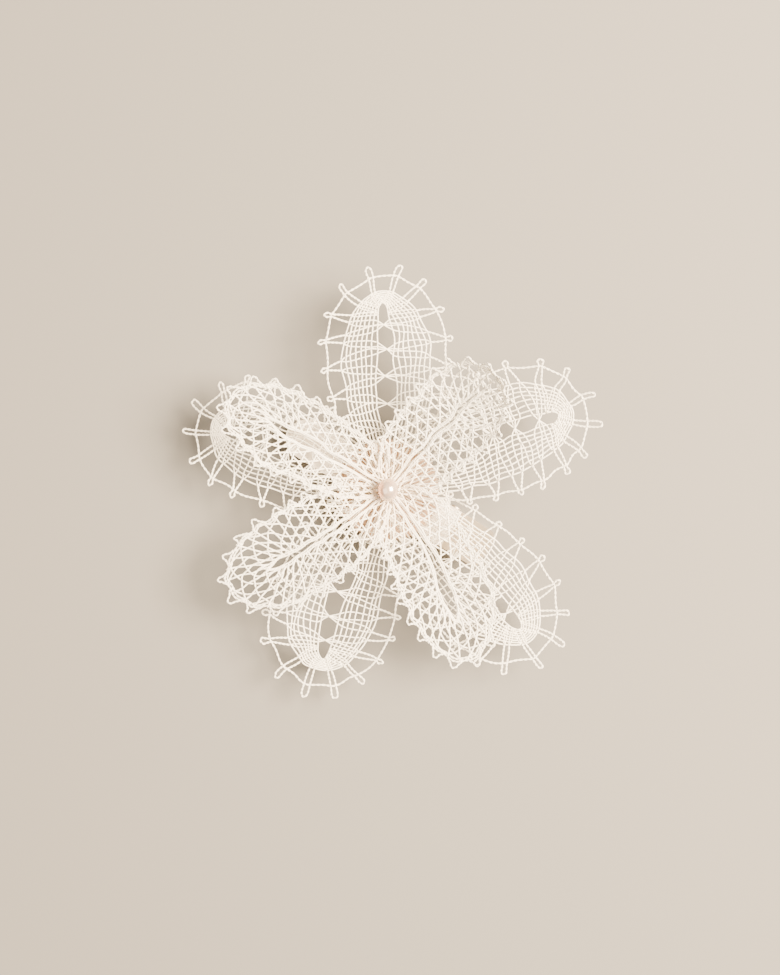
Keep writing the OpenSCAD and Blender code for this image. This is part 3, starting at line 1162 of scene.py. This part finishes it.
    def lay_edge(self, marks: Array) -> None:
        """Lay the edge thread: a twisted pair, almost straight from picot to picot and nearer the cloth at the tip.

        Args:
            marks: m of every picot.
        """
        end = self.map.strip.m_max - 0.4
        nodes = np.concatenate([[-end], marks, [end]])
        x, y = self.map.flat(self.edge_u - self.edge_closing * self.tipness(nodes), nodes)
        place = np.linspace(0, len(nodes) - 1, 26 * (len(nodes) - 1))
        spots = np.arange(len(nodes))
        soft = np.ones(5) / 5
        lines = [np.pad(np.interp(place, spots, axis), 2, mode="edge") for axis in (x, y)]
        eased = [np.convolve(line, soft, mode="valid")[None] for line in lines]
        self.lay_pair(eased[0], eased[1], pitch=self.edge_twist)


@dataclass
class HalfStitchPetal(LacePetal):
    """An inner petal: an open mesh of six-sided holes round a slit, with a firm scalloped edge and pointed picots."""

    rows: int = 6
    picot_pitch: float = 1.75
    slit_wide: float = 0.7
    lens_at: float = 0.88
    lens_long: float = 0.10
    overlap: float = 0.9
    thread_r: float = 0.17
    strand_r: float = 0.112
    root_share: float = 0.8
    mesh_from: float = 0.04
    mesh_span: float = 0.93
    worker_h: float = 0.14
    rim_hollow: float = 0.045
    rim_levels: tuple[float, float] = (0.94, 1.0)
    rim_twist: float = 1.9
    picot_twist: float = 1.5

    def strip(self) -> Strip:
        """Horseshoe coordinates, one m for each column of crossings.

        Returns:
            The coordinates.
        """
        length = self.leaf.length
        end = 0.725 * length

        def opening(x: Array) -> Array:
            """Half width of the slit: a narrow gap that swells to a lens near its outer end."""
            lens = np.exp(-(((x - self.lens_at * end) / (self.lens_long * end)) ** 2))
            return 0.34 + (self.slit_wide - 0.34) * lens

        return Strip(
            length=length,
            half_width=self.leaf.half_width,
            cloth_share=0.865,
            opening_end=0.725,
            cloth_end=0.958,
            opening=opening,
            opening_round=0.86,
            pitch=2.0,
            pitch_out=2.0,
            fan_count=8.2,
            root_share=self.root_share,
        )

    def weave(self) -> None:
        """Lay the diagonals, the workers, the slit's bundles, the edge and the picots."""
        self.lay_diagonals()
        self.lay_workers()
        self.lay_bundles()
        marks = np.arange(0.8, self.map.strip.m_max - 1.5, self.picot_pitch)
        left = marks + self.rng.uniform(-0.12, 0.12, len(marks))
        right = marks + self.rng.uniform(-0.12, 0.12, len(marks))
        every = np.concatenate([-right[::-1], left])
        self.lay_rim(every)
        self.lay_picots(every)

    def lay_diagonals(self) -> None:
        """Lay the diagonal threads: each goes one row across for one column along and turns back at both edges."""
        m = self.whole(330)
        rows = []
        for start in range(0, 2 * self.rows, 2):
            phase = np.mod(m + start, 2 * self.rows)
            row = self.rows - np.abs(phase - self.rows)
            slope = np.sin(math.pi * np.clip(phase / self.rows, 0, 2))
            way = np.tanh(6 * slope)
            drift = 0.012 * waves(np.stack([m, row, 0 * m], -1), self.seed + start, 0.4)
            u = self.mesh_from + self.mesh_span * row / self.rows + drift
            rows.append((*self.map.flat(u, m), self.weave_h * np.cos(2 * math.pi * m) * way))
        self.lay_rows(rows)

    def lay_workers(self) -> None:
        """Lay the worker threads straight across the strip, over one diagonal and under the next."""
        count = int(self.map.strip.m_max) - 1
        u = np.linspace(0.0, 1.0, 30)
        rows = []
        for side in (-1.0, 1.0):
            for k in range(count):
                mark = k + 0.5 + self.rng.uniform(-0.06, 0.06)
                sag = 0.10 * np.sin(math.pi * u) * self.rng.uniform(-1, 1)
                wave = self.worker_h * np.cos(math.pi * (self.rows * u - 0.5) + math.pi * k)
                rows.append((*self.map.flat(u, side * (mark + sag)), wave))
        self.lay_rows(rows)

    def lay_bundles(self) -> None:
        """Lay the two close threads that bound the slit."""
        m = self.whole(230)
        k, level = np.array([[0], [1]]), np.array([[0.0], [self.mesh_from]])
        x, y = self.map.flat(level + 0.008 * np.sin(1.3 * m + k) + 0.008, m)
        self.lay(x, y, 0.12 * k + 0.05 * np.sin(2.2 * m + 2 * k))

    def lay_rim(self, marks: Array) -> None:
        """Lay the rim: two twisted pairs side by side.

        Between two picots each dips in a shallow hollow, the square of the sine of the share of the way along.

        Args:
            marks: m of every picot.
        """
        m = self.whole(360)
        hollow = self.rim_hollow * np.sin(math.pi * np.interp(m, marks, np.arange(len(marks)))) ** 2
        x, y = self.map.flat(np.array(self.rim_levels)[:, None] - hollow, m)
        self.lay_pair(x, y, pitch=self.rim_twist)

    def lay_picots(self, marks: Array) -> None:
        """Lay each picot: a small pointed loop of twisted thread that stands on the rim.

        Args:
            marks: m of every picot.
        """
        knots = mirrored([[0.90, 0.62], [1.08, 0.46], [1.40, 0.27], [1.75, 0.19], [1.98, 0.0]])
        stretch = self.rng.uniform(-0.08, 0.02, (len(marks), 1))
        lean = self.rng.uniform(-0.10, 0.10, (len(marks), 1))
        level = 1 + (knots[None, :, 0] - 1) * (1 + stretch)
        m = marks[:, None] + knots[None, :, 1] + lean * np.clip(level - 1, 0, 1)
        path = smooth_path(np.stack([level, m], -1), 40)
        x, y = self.map.flat(path[..., 0], path[..., 1])
        self.lay_pair(x, y, 0.05, self.picot_twist)


@dataclass
class Flower:
    """The nine petals."""

    lace: bpy.types.Material

    def build(self) -> None:
        """Build the petals."""
        folds = {"outer_petal_top": {"root_share": 0.42, "ridge": 3.4}}
        slits = {
            "inner_petal_upper_right": {"slit_wide": 0.35, "lens_at": 0.55, "lens_long": 0.3},
            "inner_petal_lower_right": {"slit_wide": 1.25, "lens_at": 0.76, "lens_long": 0.24},
            "inner_petal_lower_left": {"slit_wide": 0.75, "lens_at": 0.90, "lens_long": 0.09, "root_share": 0.65},
            "inner_petal_upper_left": {"slit_wide": 1.0, "lens_at": 0.62, "lens_long": 0.24, "root_share": 0.65},
        }
        for seed, (node, leaf) in enumerate(OUTER.items(), 11):
            ClothStitchPetal(node, leaf, seed, self.lace, **folds.get(node, {})).build()
        for seed, (node, leaf) in enumerate(INNER.items(), 31):
            HalfStitchPetal(node, leaf, seed, self.lace, **slits[node]).build()


# ---------------------------------------------------------------- pearl, sewing and felt


def dress(piece: bpy.types.Object, finish: bpy.types.Material, body: Body, slot: Slot, *nodes: str) -> None:
    """Give a new piece its material and body, and hide the nodes it stands for.

    Args:
        piece: the new piece.
        finish: its material.
        body: the body it rides on.
        slot: its material slot; not used.
        nodes: the nodes it stands for.
    """
    piece.data.materials.append(finish)
    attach(piece, body.value)
    if nodes:
        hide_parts(*nodes)
    LOG.info("%s: %d faces", piece.name, len(piece.data.polygons))


@dataclass
class Bearing:
    """Directions turned about +Z, in millimetres: u along the bearing, v to its left, z up."""

    turn: float

    def world(self, points: Array) -> Array:
        """Turn points about +Z into the frame: x and y are u and v turned by the bearing's angle.

        Args:
            points: array whose last axis is u, v, z.

        Returns:
            The points in the frame.
        """
        c, s = math.cos(self.turn), math.sin(self.turn)
        u, v, z = points[..., 0], points[..., 1], points[..., 2]
        return np.stack([u * c - v * s, u * s + v * c, z], -1)


@dataclass
class ClipFrame(Bearing):
    """The clip's bearing, with u towards its nose, and its hinge."""

    turn: float = math.radians(148)
    hinge_back: float = 14.0
    hinge_z: float = 2.5


@dataclass
class PearlHeart:
    """The pearl, the thread that holds it and the stitches that gather the petals."""

    lie: Bearing
    nacre: bpy.types.Material
    thread: bpy.types.Material
    hole_r: float = 0.45
    rim_r: float = 0.12
    heart_z: float = 7.6
    bead_thread_r: float = 0.12
    coil_r: float = 1.45
    coil_z: float = 8.1
    coil_rise: float = 0.8
    coil_turns: int = 3

    def __post_init__(self) -> None:
        """Take the pearl's size and place from the frame."""
        low, high = (np.array(corner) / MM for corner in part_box("pearl_bead"))
        self.centre = (low + high) / 2
        self.radius, self.long = float(high[2] - low[2]) / 2, float((high - low).max()) / 2

    def pearl(self) -> None:
        """Build the drilled pearl.

        Its profile goes along the hole's wall, round a small lip and over the sphere, and turns once round the
        hole's axis. Along the pearl's length the profile is stretched in proportion to its distance from the
        hole's wall.
        """
        reach = math.sqrt(self.radius**2 - (self.hole_r + self.rim_r) ** 2)
        start = math.atan2(self.hole_r + self.rim_r, reach)
        rounds, wall_steps, wall_inset = 96, 14, 0.4
        arc = np.linspace(start, math.pi - start, 72)
        ball = np.stack([self.radius * np.cos(arc), self.radius * np.sin(arc)], -1)
        lip_turn = np.linspace(0.15, 0.95, 6)[:, None] * math.pi / 2
        lip = np.concatenate(
            [-reach + self.rim_r * (1 - np.cos(lip_turn)) * 0.8, self.hole_r + self.rim_r * (1 - np.sin(lip_turn))], 1
        )
        depth = np.linspace(-reach + wall_inset, reach - wall_inset, wall_steps)
        wall = np.stack([depth, np.full(wall_steps, self.hole_r)], -1)
        profile = np.concatenate([ball, lip, wall, lip[::-1] * np.array([-1, 1])])
        turn = np.linspace(0, 2 * math.pi, rounds, endpoint=False)[:, None]
        along, out = profile[:, 0], profile[:, 1]
        stretched = out + (self.long - self.radius) * (out - self.hole_r) / (self.radius - self.hole_r)
        level = np.broadcast_to(along, (rounds, len(along)))
        local = np.stack([stretched * np.cos(turn), level, out * np.sin(turn)], -1)
        local = local * (1 + 0.004 * waves(local, 3, 0.18)[..., None])
        points = self.lie.world(local) + self.centre
        piece = make_piece("pearl", grid_skin(points, True))
        outwards(piece)
        dress(piece, self.nacre, Body.FLOWER, Slot.PEARL, "pearl_bead")

    def bead_thread(self) -> None:
        """Build the thread through the pearl: down both sides of it and into the flower's heart."""
        z = self.centre[2]
        out = self.radius + 0.30
        side = np.array(
            [
                [0, out - 0.55, z], [0, out - 0.14, z - 0.12], [0, out, z - 0.5], [0, out - 0.1, z - 1.15],
                [0, out - 0.75, z - 2.1], [0, 1.0, z - 2.8], [0, 0.6, z - 3.6], [0, 0.5, self.heart_z],
            ]
        )
        knots = np.concatenate([side[::-1] * np.array([1, -1, 1]), [[0, 0, z]], side])
        middle = smooth_path(knots[None], 150)
        paths = np.concatenate([middle - 0.1 * AHEAD, middle + 0.1 * AHEAD])
        skin = sweep(self.lie.world(paths), self.lie.world(facing(AHEAD, paths)), self.bead_thread_r, 8)
        dress(make_piece("bead_thread_spun", skin), self.thread, Body.FLOWER, Slot.SEWING, "bead_thread")

    def gathering(self) -> None:
        """Build the gathering thread: three turns round the heart, and a stitch over each petal's root."""
        whole = self.coil_turns * 2 * math.pi
        turn = np.linspace(0, whole, 150)
        radius = self.coil_r + 0.10 * np.sin(2.3 * turn)
        height = self.coil_z + self.coil_rise * turn / whole
        coil = np.stack([radius * np.cos(turn), radius * np.sin(turn), height], -1)
        skins = [sweep(coil[None], facing(UP, coil)[None], 0.17, 8)]
        angles = np.radians([leaf.direction for leaf in (*OUTER.values(), *INNER.values())])
        roots = [leaf.root_z + 0.3 for leaf in OUTER.values()] + [leaf.root_z + 0.4 for leaf in INNER.values()]
        heights = np.array(roots)
        out = np.array([1.5, 2.1, 2.9, 3.5, 3.75])
        lift = np.array([0.0, 0.35, 0.32, 0.15, -0.35])
        stitches = []
        for sign in (-1.0, 1.0):
            side = sign * np.array([0.18, 0.25, 0.3, 0.25, 0.2])
            x = out * np.cos(angles)[:, None] - side * np.sin(angles)[:, None]
            y = out * np.sin(angles)[:, None] + side * np.cos(angles)[:, None]
            stitches.append(np.stack([x, y, heights[:, None] + lift], -1))
        path = smooth_path(np.concatenate(stitches), 24)
        tangent = unit(np.gradient(path, axis=1))
        level = np.cross(tangent, facing(UP, tangent))
        skins.append(sweep(path, np.cross(level, tangent), 0.14, 6))
        piece = make_piece("gathering_stitches", join_skins(skins))
        dress(piece, self.thread, Body.FLOWER, Slot.SEWING, "gathering_thread")

    def build(self) -> None:
        """Build the pearl and its threads."""
        self.pearl()
        self.bead_thread()
        self.gathering()


def outwards(piece: bpy.types.Object) -> None:
    """Turn a closed piece's faces outwards.

    Args:
        piece: the closed piece.
    """
    shell = bmesh.new()
    shell.from_mesh(piece.data)
    bmesh.ops.recalc_face_normals(shell, faces=shell.faces)
    shell.to_mesh(piece.data)
    shell.free()


@dataclass
class FeltBacking:
    """The felt pad and the threads that sew it to the clip."""

    clip: ClipFrame
    felt: bpy.types.Material
    thread: bpy.types.Material
    corner: float = 0.35
    rounds: int = 160
    fibres: int = 900
    fibre_r: float = 0.018
    fibre_bends: tuple[float, float, float] = (0.22, 0.22, 0.16)
    lash_side: float = 4.65
    lash_corner: float = 0.3
    lash_r: float = 0.13
    lash_places: tuple[float, float, float] = (-8.0, -3.5, 1.0)

    def __post_init__(self) -> None:
        """Take the pad's size and height from the frame."""
        low, high = (np.array(corner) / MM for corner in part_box("felt_pad"))
        self.radius = float((high - low)[0] / 2)
        self.low, self.high = float(low[2]), float(high[2])
        thread_low, thread_high = (np.array(corner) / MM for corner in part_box("clip_lashing"))
        self.lash_low, self.lash_high = float(thread_low[2]), float(thread_high[2])

    def pad(self) -> None:
        """Build the pad: a rounded disc turned about the pearl's axis, with an uneven cut edge and matted faces."""
        middle, half = (self.low + self.high) / 2, (self.high - self.low) / 2
        bend = np.linspace(-math.pi / 2, math.pi / 2, 13)
        edge_r = self.radius - self.corner + self.corner * np.cos(bend)
        edge_z = (half - self.corner) * np.sign(np.sin(bend)) + self.corner * np.sin(bend)
        flat = np.linspace(0.02, 1, 24)[:-1] * (self.radius - self.corner)
        radius = np.concatenate([flat, edge_r, flat[::-1]])
        height = np.concatenate([np.full(len(flat), -half), edge_z, np.full(len(flat), half)])
        turn = np.linspace(0, 2 * math.pi, self.rounds, endpoint=False)[:, None]
        level = np.broadcast_to(middle + height, (self.rounds, len(radius)))
        points = np.stack([radius * np.cos(turn), radius * np.sin(turn), level], -1)
        rough = 0.045 * waves(points, 8, 0.9) + 0.03 * waves(points, 9, 2.2)
        share = np.clip(radius / self.radius, 0, 1) ** 6
        out = np.stack([np.cos(turn) * share, np.sin(turn) * share, np.zeros_like(level)], -1)
        out[..., 2] = np.sign(height) * (1 - share)
        points = points + out * rough[..., None] - out * 0.04
        piece = make_piece("felt_pad_matted", self.capped(grid_skin(points, False), len(radius)))
        outwards(piece)
        dress(piece, self.felt, Body.FLOWER, Slot.FELT, "felt_pad")
        self.fuzz()

    @staticmethod
    def capped(skin: Skin, columns: int) -> Skin:
        """Close the pad's two small middle holes with four-sided faces across their rings.

        Args:
            skin: the pad's surface.
            columns: points in each of its rows.

        Returns:
            The closed surface.
        """
        count = len(skin.points) // columns
        caps = []
        for column, flip in ((0, False), (columns - 1, True)):
            ring = np.arange(count) * columns + column
            k = np.arange(count // 2 - 1)
            cap = np.stack([ring[k], ring[k + 1], ring[count - 2 - k], ring[count - 1 - k]], -1)
            caps.append(cap[:, ::-1] if flip else cap)
        quads = np.concatenate([skin.quads] + caps)
        uvs = np.concatenate([skin.uvs, np.full((len(quads) - len(skin.quads), 4, 2), 0.5)])
        return Skin(skin.points, quads, uvs)

    def fuzz(self) -> bpy.types.Object:
        """Build the loose fibres: short curved hairs that stand off the pad's rim and underside.

        Returns:
            The piece.
        """
        rng = np.random.default_rng(21)
        turn = rng.uniform(0, 2 * math.pi, self.fibres)
        rim = rng.random(self.fibres) < 0.6
        r = np.where(rim, self.radius - 0.1, self.radius * np.sqrt(rng.random(self.fibres)))
        z = np.where(rim, rng.uniform(self.low + 0.1, self.high - 0.1, self.fibres), self.low + 0.05)
        start = np.stack([r * np.cos(turn), r * np.sin(turn), z], -1)
        out = np.stack([np.cos(turn) * rim, np.sin(turn) * rim, -1.0 * ~rim], -1)
        spread = rng.normal(size=(3, self.fibres, 3))
        first = unit(out + 0.5 * spread[0]) * self.fibre_bends[0]
        second = first + unit(0.5 * out + spread[1]) * self.fibre_bends[1]
        third = second + unit(0.3 * out + spread[2]) * self.fibre_bends[2]
        path = smooth_path(np.stack([start, start + first, start + second, start + third], 1), 6)
        normals = np.broadcast_to(unit(spread[0] + 0.01)[:, None], path.shape)
        piece = make_piece("felt_fuzz", sweep(path, normals, self.fibre_r, 4))
        dress(piece, self.felt, Body.FLOWER, Slot.FELT)
        return piece

    def lashing(self) -> None:
        """Build the lashing: three loops round the upper arm and over the felt, each of two close threads."""
        side, corner = self.lash_side, self.lash_corner
        low, high = self.lash_low + 0.2, self.lash_high - 0.2
        corners = ((1, high, 0), (-1, high, 90), (-1, low, 180), (1, low, 270))
        turn = np.radians(np.linspace(0, 90, 6))
        loop = []
        for (across, z, start), (after, z_after, _) in zip(corners, corners[1:] + corners[:1]):
            angle = turn + math.radians(start)
            dip = -corner if z == high else corner
            y = across * (side - corner) + corner * np.cos(angle)
            loop.append(np.stack([y, z + dip + corner * np.sin(angle)], -1))
            if z_after == z:
                last = loop[-1][-1]
                target = np.array([after * (side - corner), last[1]])
                loop.append(last + (target - last) * np.linspace(0, 1, 12)[1:-1, None])
        ring = np.concatenate(loop)
        skins = []
        for u in self.lash_places:
            for shift in (-self.lash_r, self.lash_r):
                lean = shift * np.sign(ring[:, 0]) + shift
                path = np.stack([u + lean * 0.8, ring[:, 0], ring[:, 1]], -1)[None]
                normals = self.clip.world(facing(AHEAD, path))
                skins.append(sweep(self.clip.world(path), normals, self.lash_r, 8, closed=True))
        piece = make_piece("clip_lashing_spun", join_skins(skins))
        dress(piece, self.thread, Body.FLOWER, Slot.SEWING, "clip_lashing")

    def build(self) -> None:
        """Build the pad and its sewing."""
        self.pad()
        self.lashing()


# ---------------------------------------------------------------- clip


@dataclass
class ClipHardware:
    """The jaws, the pin and the spring."""

    clip: ClipFrame
    plating: bpy.types.Material
    wire: bpy.types.Material
    wire_r: float = 0.3
    coil_r: float = 1.15
    turns: int = 4
    coil_pitch: float = 0.72
    leg: float = 6.5
    up_leg: float = math.radians(12.1)
    down_leg: float = math.radians(8)
    blend_half: float = 0.8

    def jaws(self, nodes: dict[str, bpy.types.Object]) -> None:
        """Give the jaws and the pin their plating.

        Args:
            nodes: the frame's objects, by node.
        """
        for node in ("upper_jaw", "lower_jaw", "hinge_pin"):
            mesh = nodes[node].data
            mesh.materials.clear()
            mesh.materials.append(self.plating)
            LOG.info("%s dressed", node)

    def spring(self) -> None:
        """Build the spring: a coil round the pin with a leg under each tab.

        The coil's point at angle a is the radius times (cos a, sin a) in the plane across the pin, and moves
        evenly along the pin; each leg is a straight line.
        """
        half = self.turns * self.coil_pitch / 2
        start = math.pi / 2 + self.up_leg
        wound = 2 * math.pi * self.turns - math.pi - self.up_leg - self.down_leg
        share = np.linspace(0, 1, 130)
        angle = start + wound * share
        coil = np.stack([self.coil_r * np.cos(angle), -half + 2 * half * share, self.coil_r * np.sin(angle)], -1)
        reach = np.linspace(self.leg, 0.25, 16)[:, None]
        up_way = np.array([-math.cos(self.up_leg), 0, math.sin(self.up_leg)])
        down_way = np.array([-math.cos(self.down_leg), 0, -0.35 / self.leg])
        upper = coil[:1] + reach * up_way
        lower = coil[-1:] + reach[::-1] * down_way
        hinge = np.array([-self.clip.hinge_back, 0, self.clip.hinge_z])
        path = np.concatenate([upper, coil, lower]) + hinge
        skin = sweep(self.clip.world(path)[None], self.clip.world(facing(LEFT, path))[None], self.wire_r, 12)
        piece = make_piece("torsion_spring_wire", skin)
        piece.data.materials.append(self.wire)
        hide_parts("torsion_spring")
        LOG.info("%s: %d faces", piece.name, len(piece.data.polygons))
        pin = self.clip.world(hinge)
        top, bottom = pin + self.blend_half * UP, pin - self.blend_half * UP
        tuple(top * MM)
        tuple(bottom * MM)
        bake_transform(piece)

    def build(self, nodes: dict[str, bpy.types.Object]) -> None:
        """Dress the metal nodes and build the spring."""
        self.jaws(nodes)
        self.spring()


# ---------------------------------------------------------------- studio


@dataclass(frozen=True)
class Lamp:
    """A square soft light that faces the flower.

    It stands at an azimuth, anticlockwise from +X, and a height above the horizon, both in degrees. Its distance
    and its side are in metres and its power is in watts.
    """

    name: str
    azimuth: float
    height: float
    away: float
    side: float
    power: float
    colour: Colour

    def build(self) -> None:
        """Add the light at its place, turned to the middle."""
        lamp = bpy.data.lights.new(self.name, "AREA")
        lamp.size = self.side
        lamp.energy = self.power
        lamp.color = self.colour
        holder = bpy.data.objects.new(self.name, lamp)
        a, e = math.radians(self.azimuth), math.radians(self.height)
        way = (math.cos(e) * math.cos(a), math.cos(e) * math.sin(a), math.sin(e))
        holder.location = tuple(self.away * part for part in way)
        holder.rotation_euler = (math.pi / 2 - e, 0, a + math.pi / 2)
        bpy.context.scene.collection.objects.link(holder)


@dataclass
class Studio:
    """The floor, the lights and the camera."""

    floor: bpy.types.Material
    floor_half: float = 3.0
    air: Colour = (1.0, 0.84, 0.70)
    air_strength: float = 0.32
    camera_z: float = 0.56
    view_width: float = 0.1607
    focus_z: float = 0.009
    middle: tuple[float, float] = (0.00041, 0.00051)

    def build(self) -> None:
        """Build the floor, the soft lights and the overhead camera."""
        corners = np.array([[-1, -1, 0], [1, -1, 0], [1, 1, 0], [-1, 1, 0]]) * (self.floor_half / MM)
        skin = Skin(corners, np.array([[0, 1, 2, 3]]), np.array([[[0, 0], [1, 0], [1, 1], [0, 1]]], float))
        ground = make_piece("floor", skin)
        ground.data.materials.append(self.floor)
        Lamp("key_light", azimuth=12, height=52, away=0.68, side=0.34, power=60, colour=(1.0, 0.83, 0.635)).build()
        Lamp("fill_light", azimuth=200, height=55, away=1.2, side=1.0, power=14, colour=(1.0, 0.86, 0.72)).build()
        Lamp("top_light", azimuth=90, height=80, away=1.3, side=1.0, power=2.5, colour=(1.0, 0.85, 0.68)).build()
        world = bpy.data.worlds.new("studio_air")
        world.use_nodes = True
        background = world.node_tree.nodes["Background"]
        background.inputs["Color"].default_value = (*self.air, 1.0)
        background.inputs["Strength"].default_value = self.air_strength
        bpy.context.scene.world = world
        self.camera()

    def camera(self) -> None:
        """Add the camera, which looks straight down with +Y up."""
        lens = bpy.data.cameras.new("overhead")
        lens.sensor_fit = "HORIZONTAL"
        lens.sensor_width = 36.0
        lens.lens = lens.sensor_width * (self.camera_z - self.focus_z) / self.view_width
        lens.clip_start = 0.01
        holder = bpy.data.objects.new("overhead", lens)
        holder.location = (self.middle[0], self.middle[1], self.camera_z)
        bpy.context.scene.collection.objects.link(holder)
        bpy.context.scene.camera = holder


def main() -> None:
    """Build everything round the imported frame."""
    logging.basicConfig(level=logging.INFO, format="%(name)s %(message)s")
    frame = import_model()
    clip = ClipFrame()
    # each thread finish: its own colour; a darker tone for the painted ply-groove shade and random unevenness; and the
    # painted warm bounce light near the heart
    lace = ThreadFinish("lace_cotton", (0.93, 0.88, 0.75), (0.66, 0.60, 0.47), (0.90, 0.70, 0.50)).material()
    sewing = ThreadFinish("sewing_cotton", (0.84, 0.78, 0.70), (0.66, 0.58, 0.49), (0.80, 0.66, 0.56)).material()
    felt = FeltFinish("peach_felt", (0.60, 0.40, 0.26), (0.40, 0.25, 0.15)).material()
    nacre = NacreFinish("pearl_nacre", (0.56, 0.42, 0.31), (0.70, 0.36, 0.22), (0.52, 0.49, 0.43)).material()
    plating = MetalFinish("champagne_plating", (0.80, 0.72, 0.60), (0.68, 0.60, 0.49), 0.42, -clip.turn).material()
    wire = MetalFinish("spring_wire", (0.58, 0.58, 0.58), (0.42, 0.42, 0.43), 0.2, 0.0).material()
    floor = StageFinish("plain_floor", (0.175, 0.165, 0.145)).material()
    Studio(floor).build()
    Flower(lace).build()
    PearlHeart(Bearing(math.radians(90)), nacre, sewing).build()
    FeltBacking(clip, felt, sewing).build()
    ClipHardware(clip, plating, wire).build(frame["nodes"])


if __name__ == "__main__":
    main()
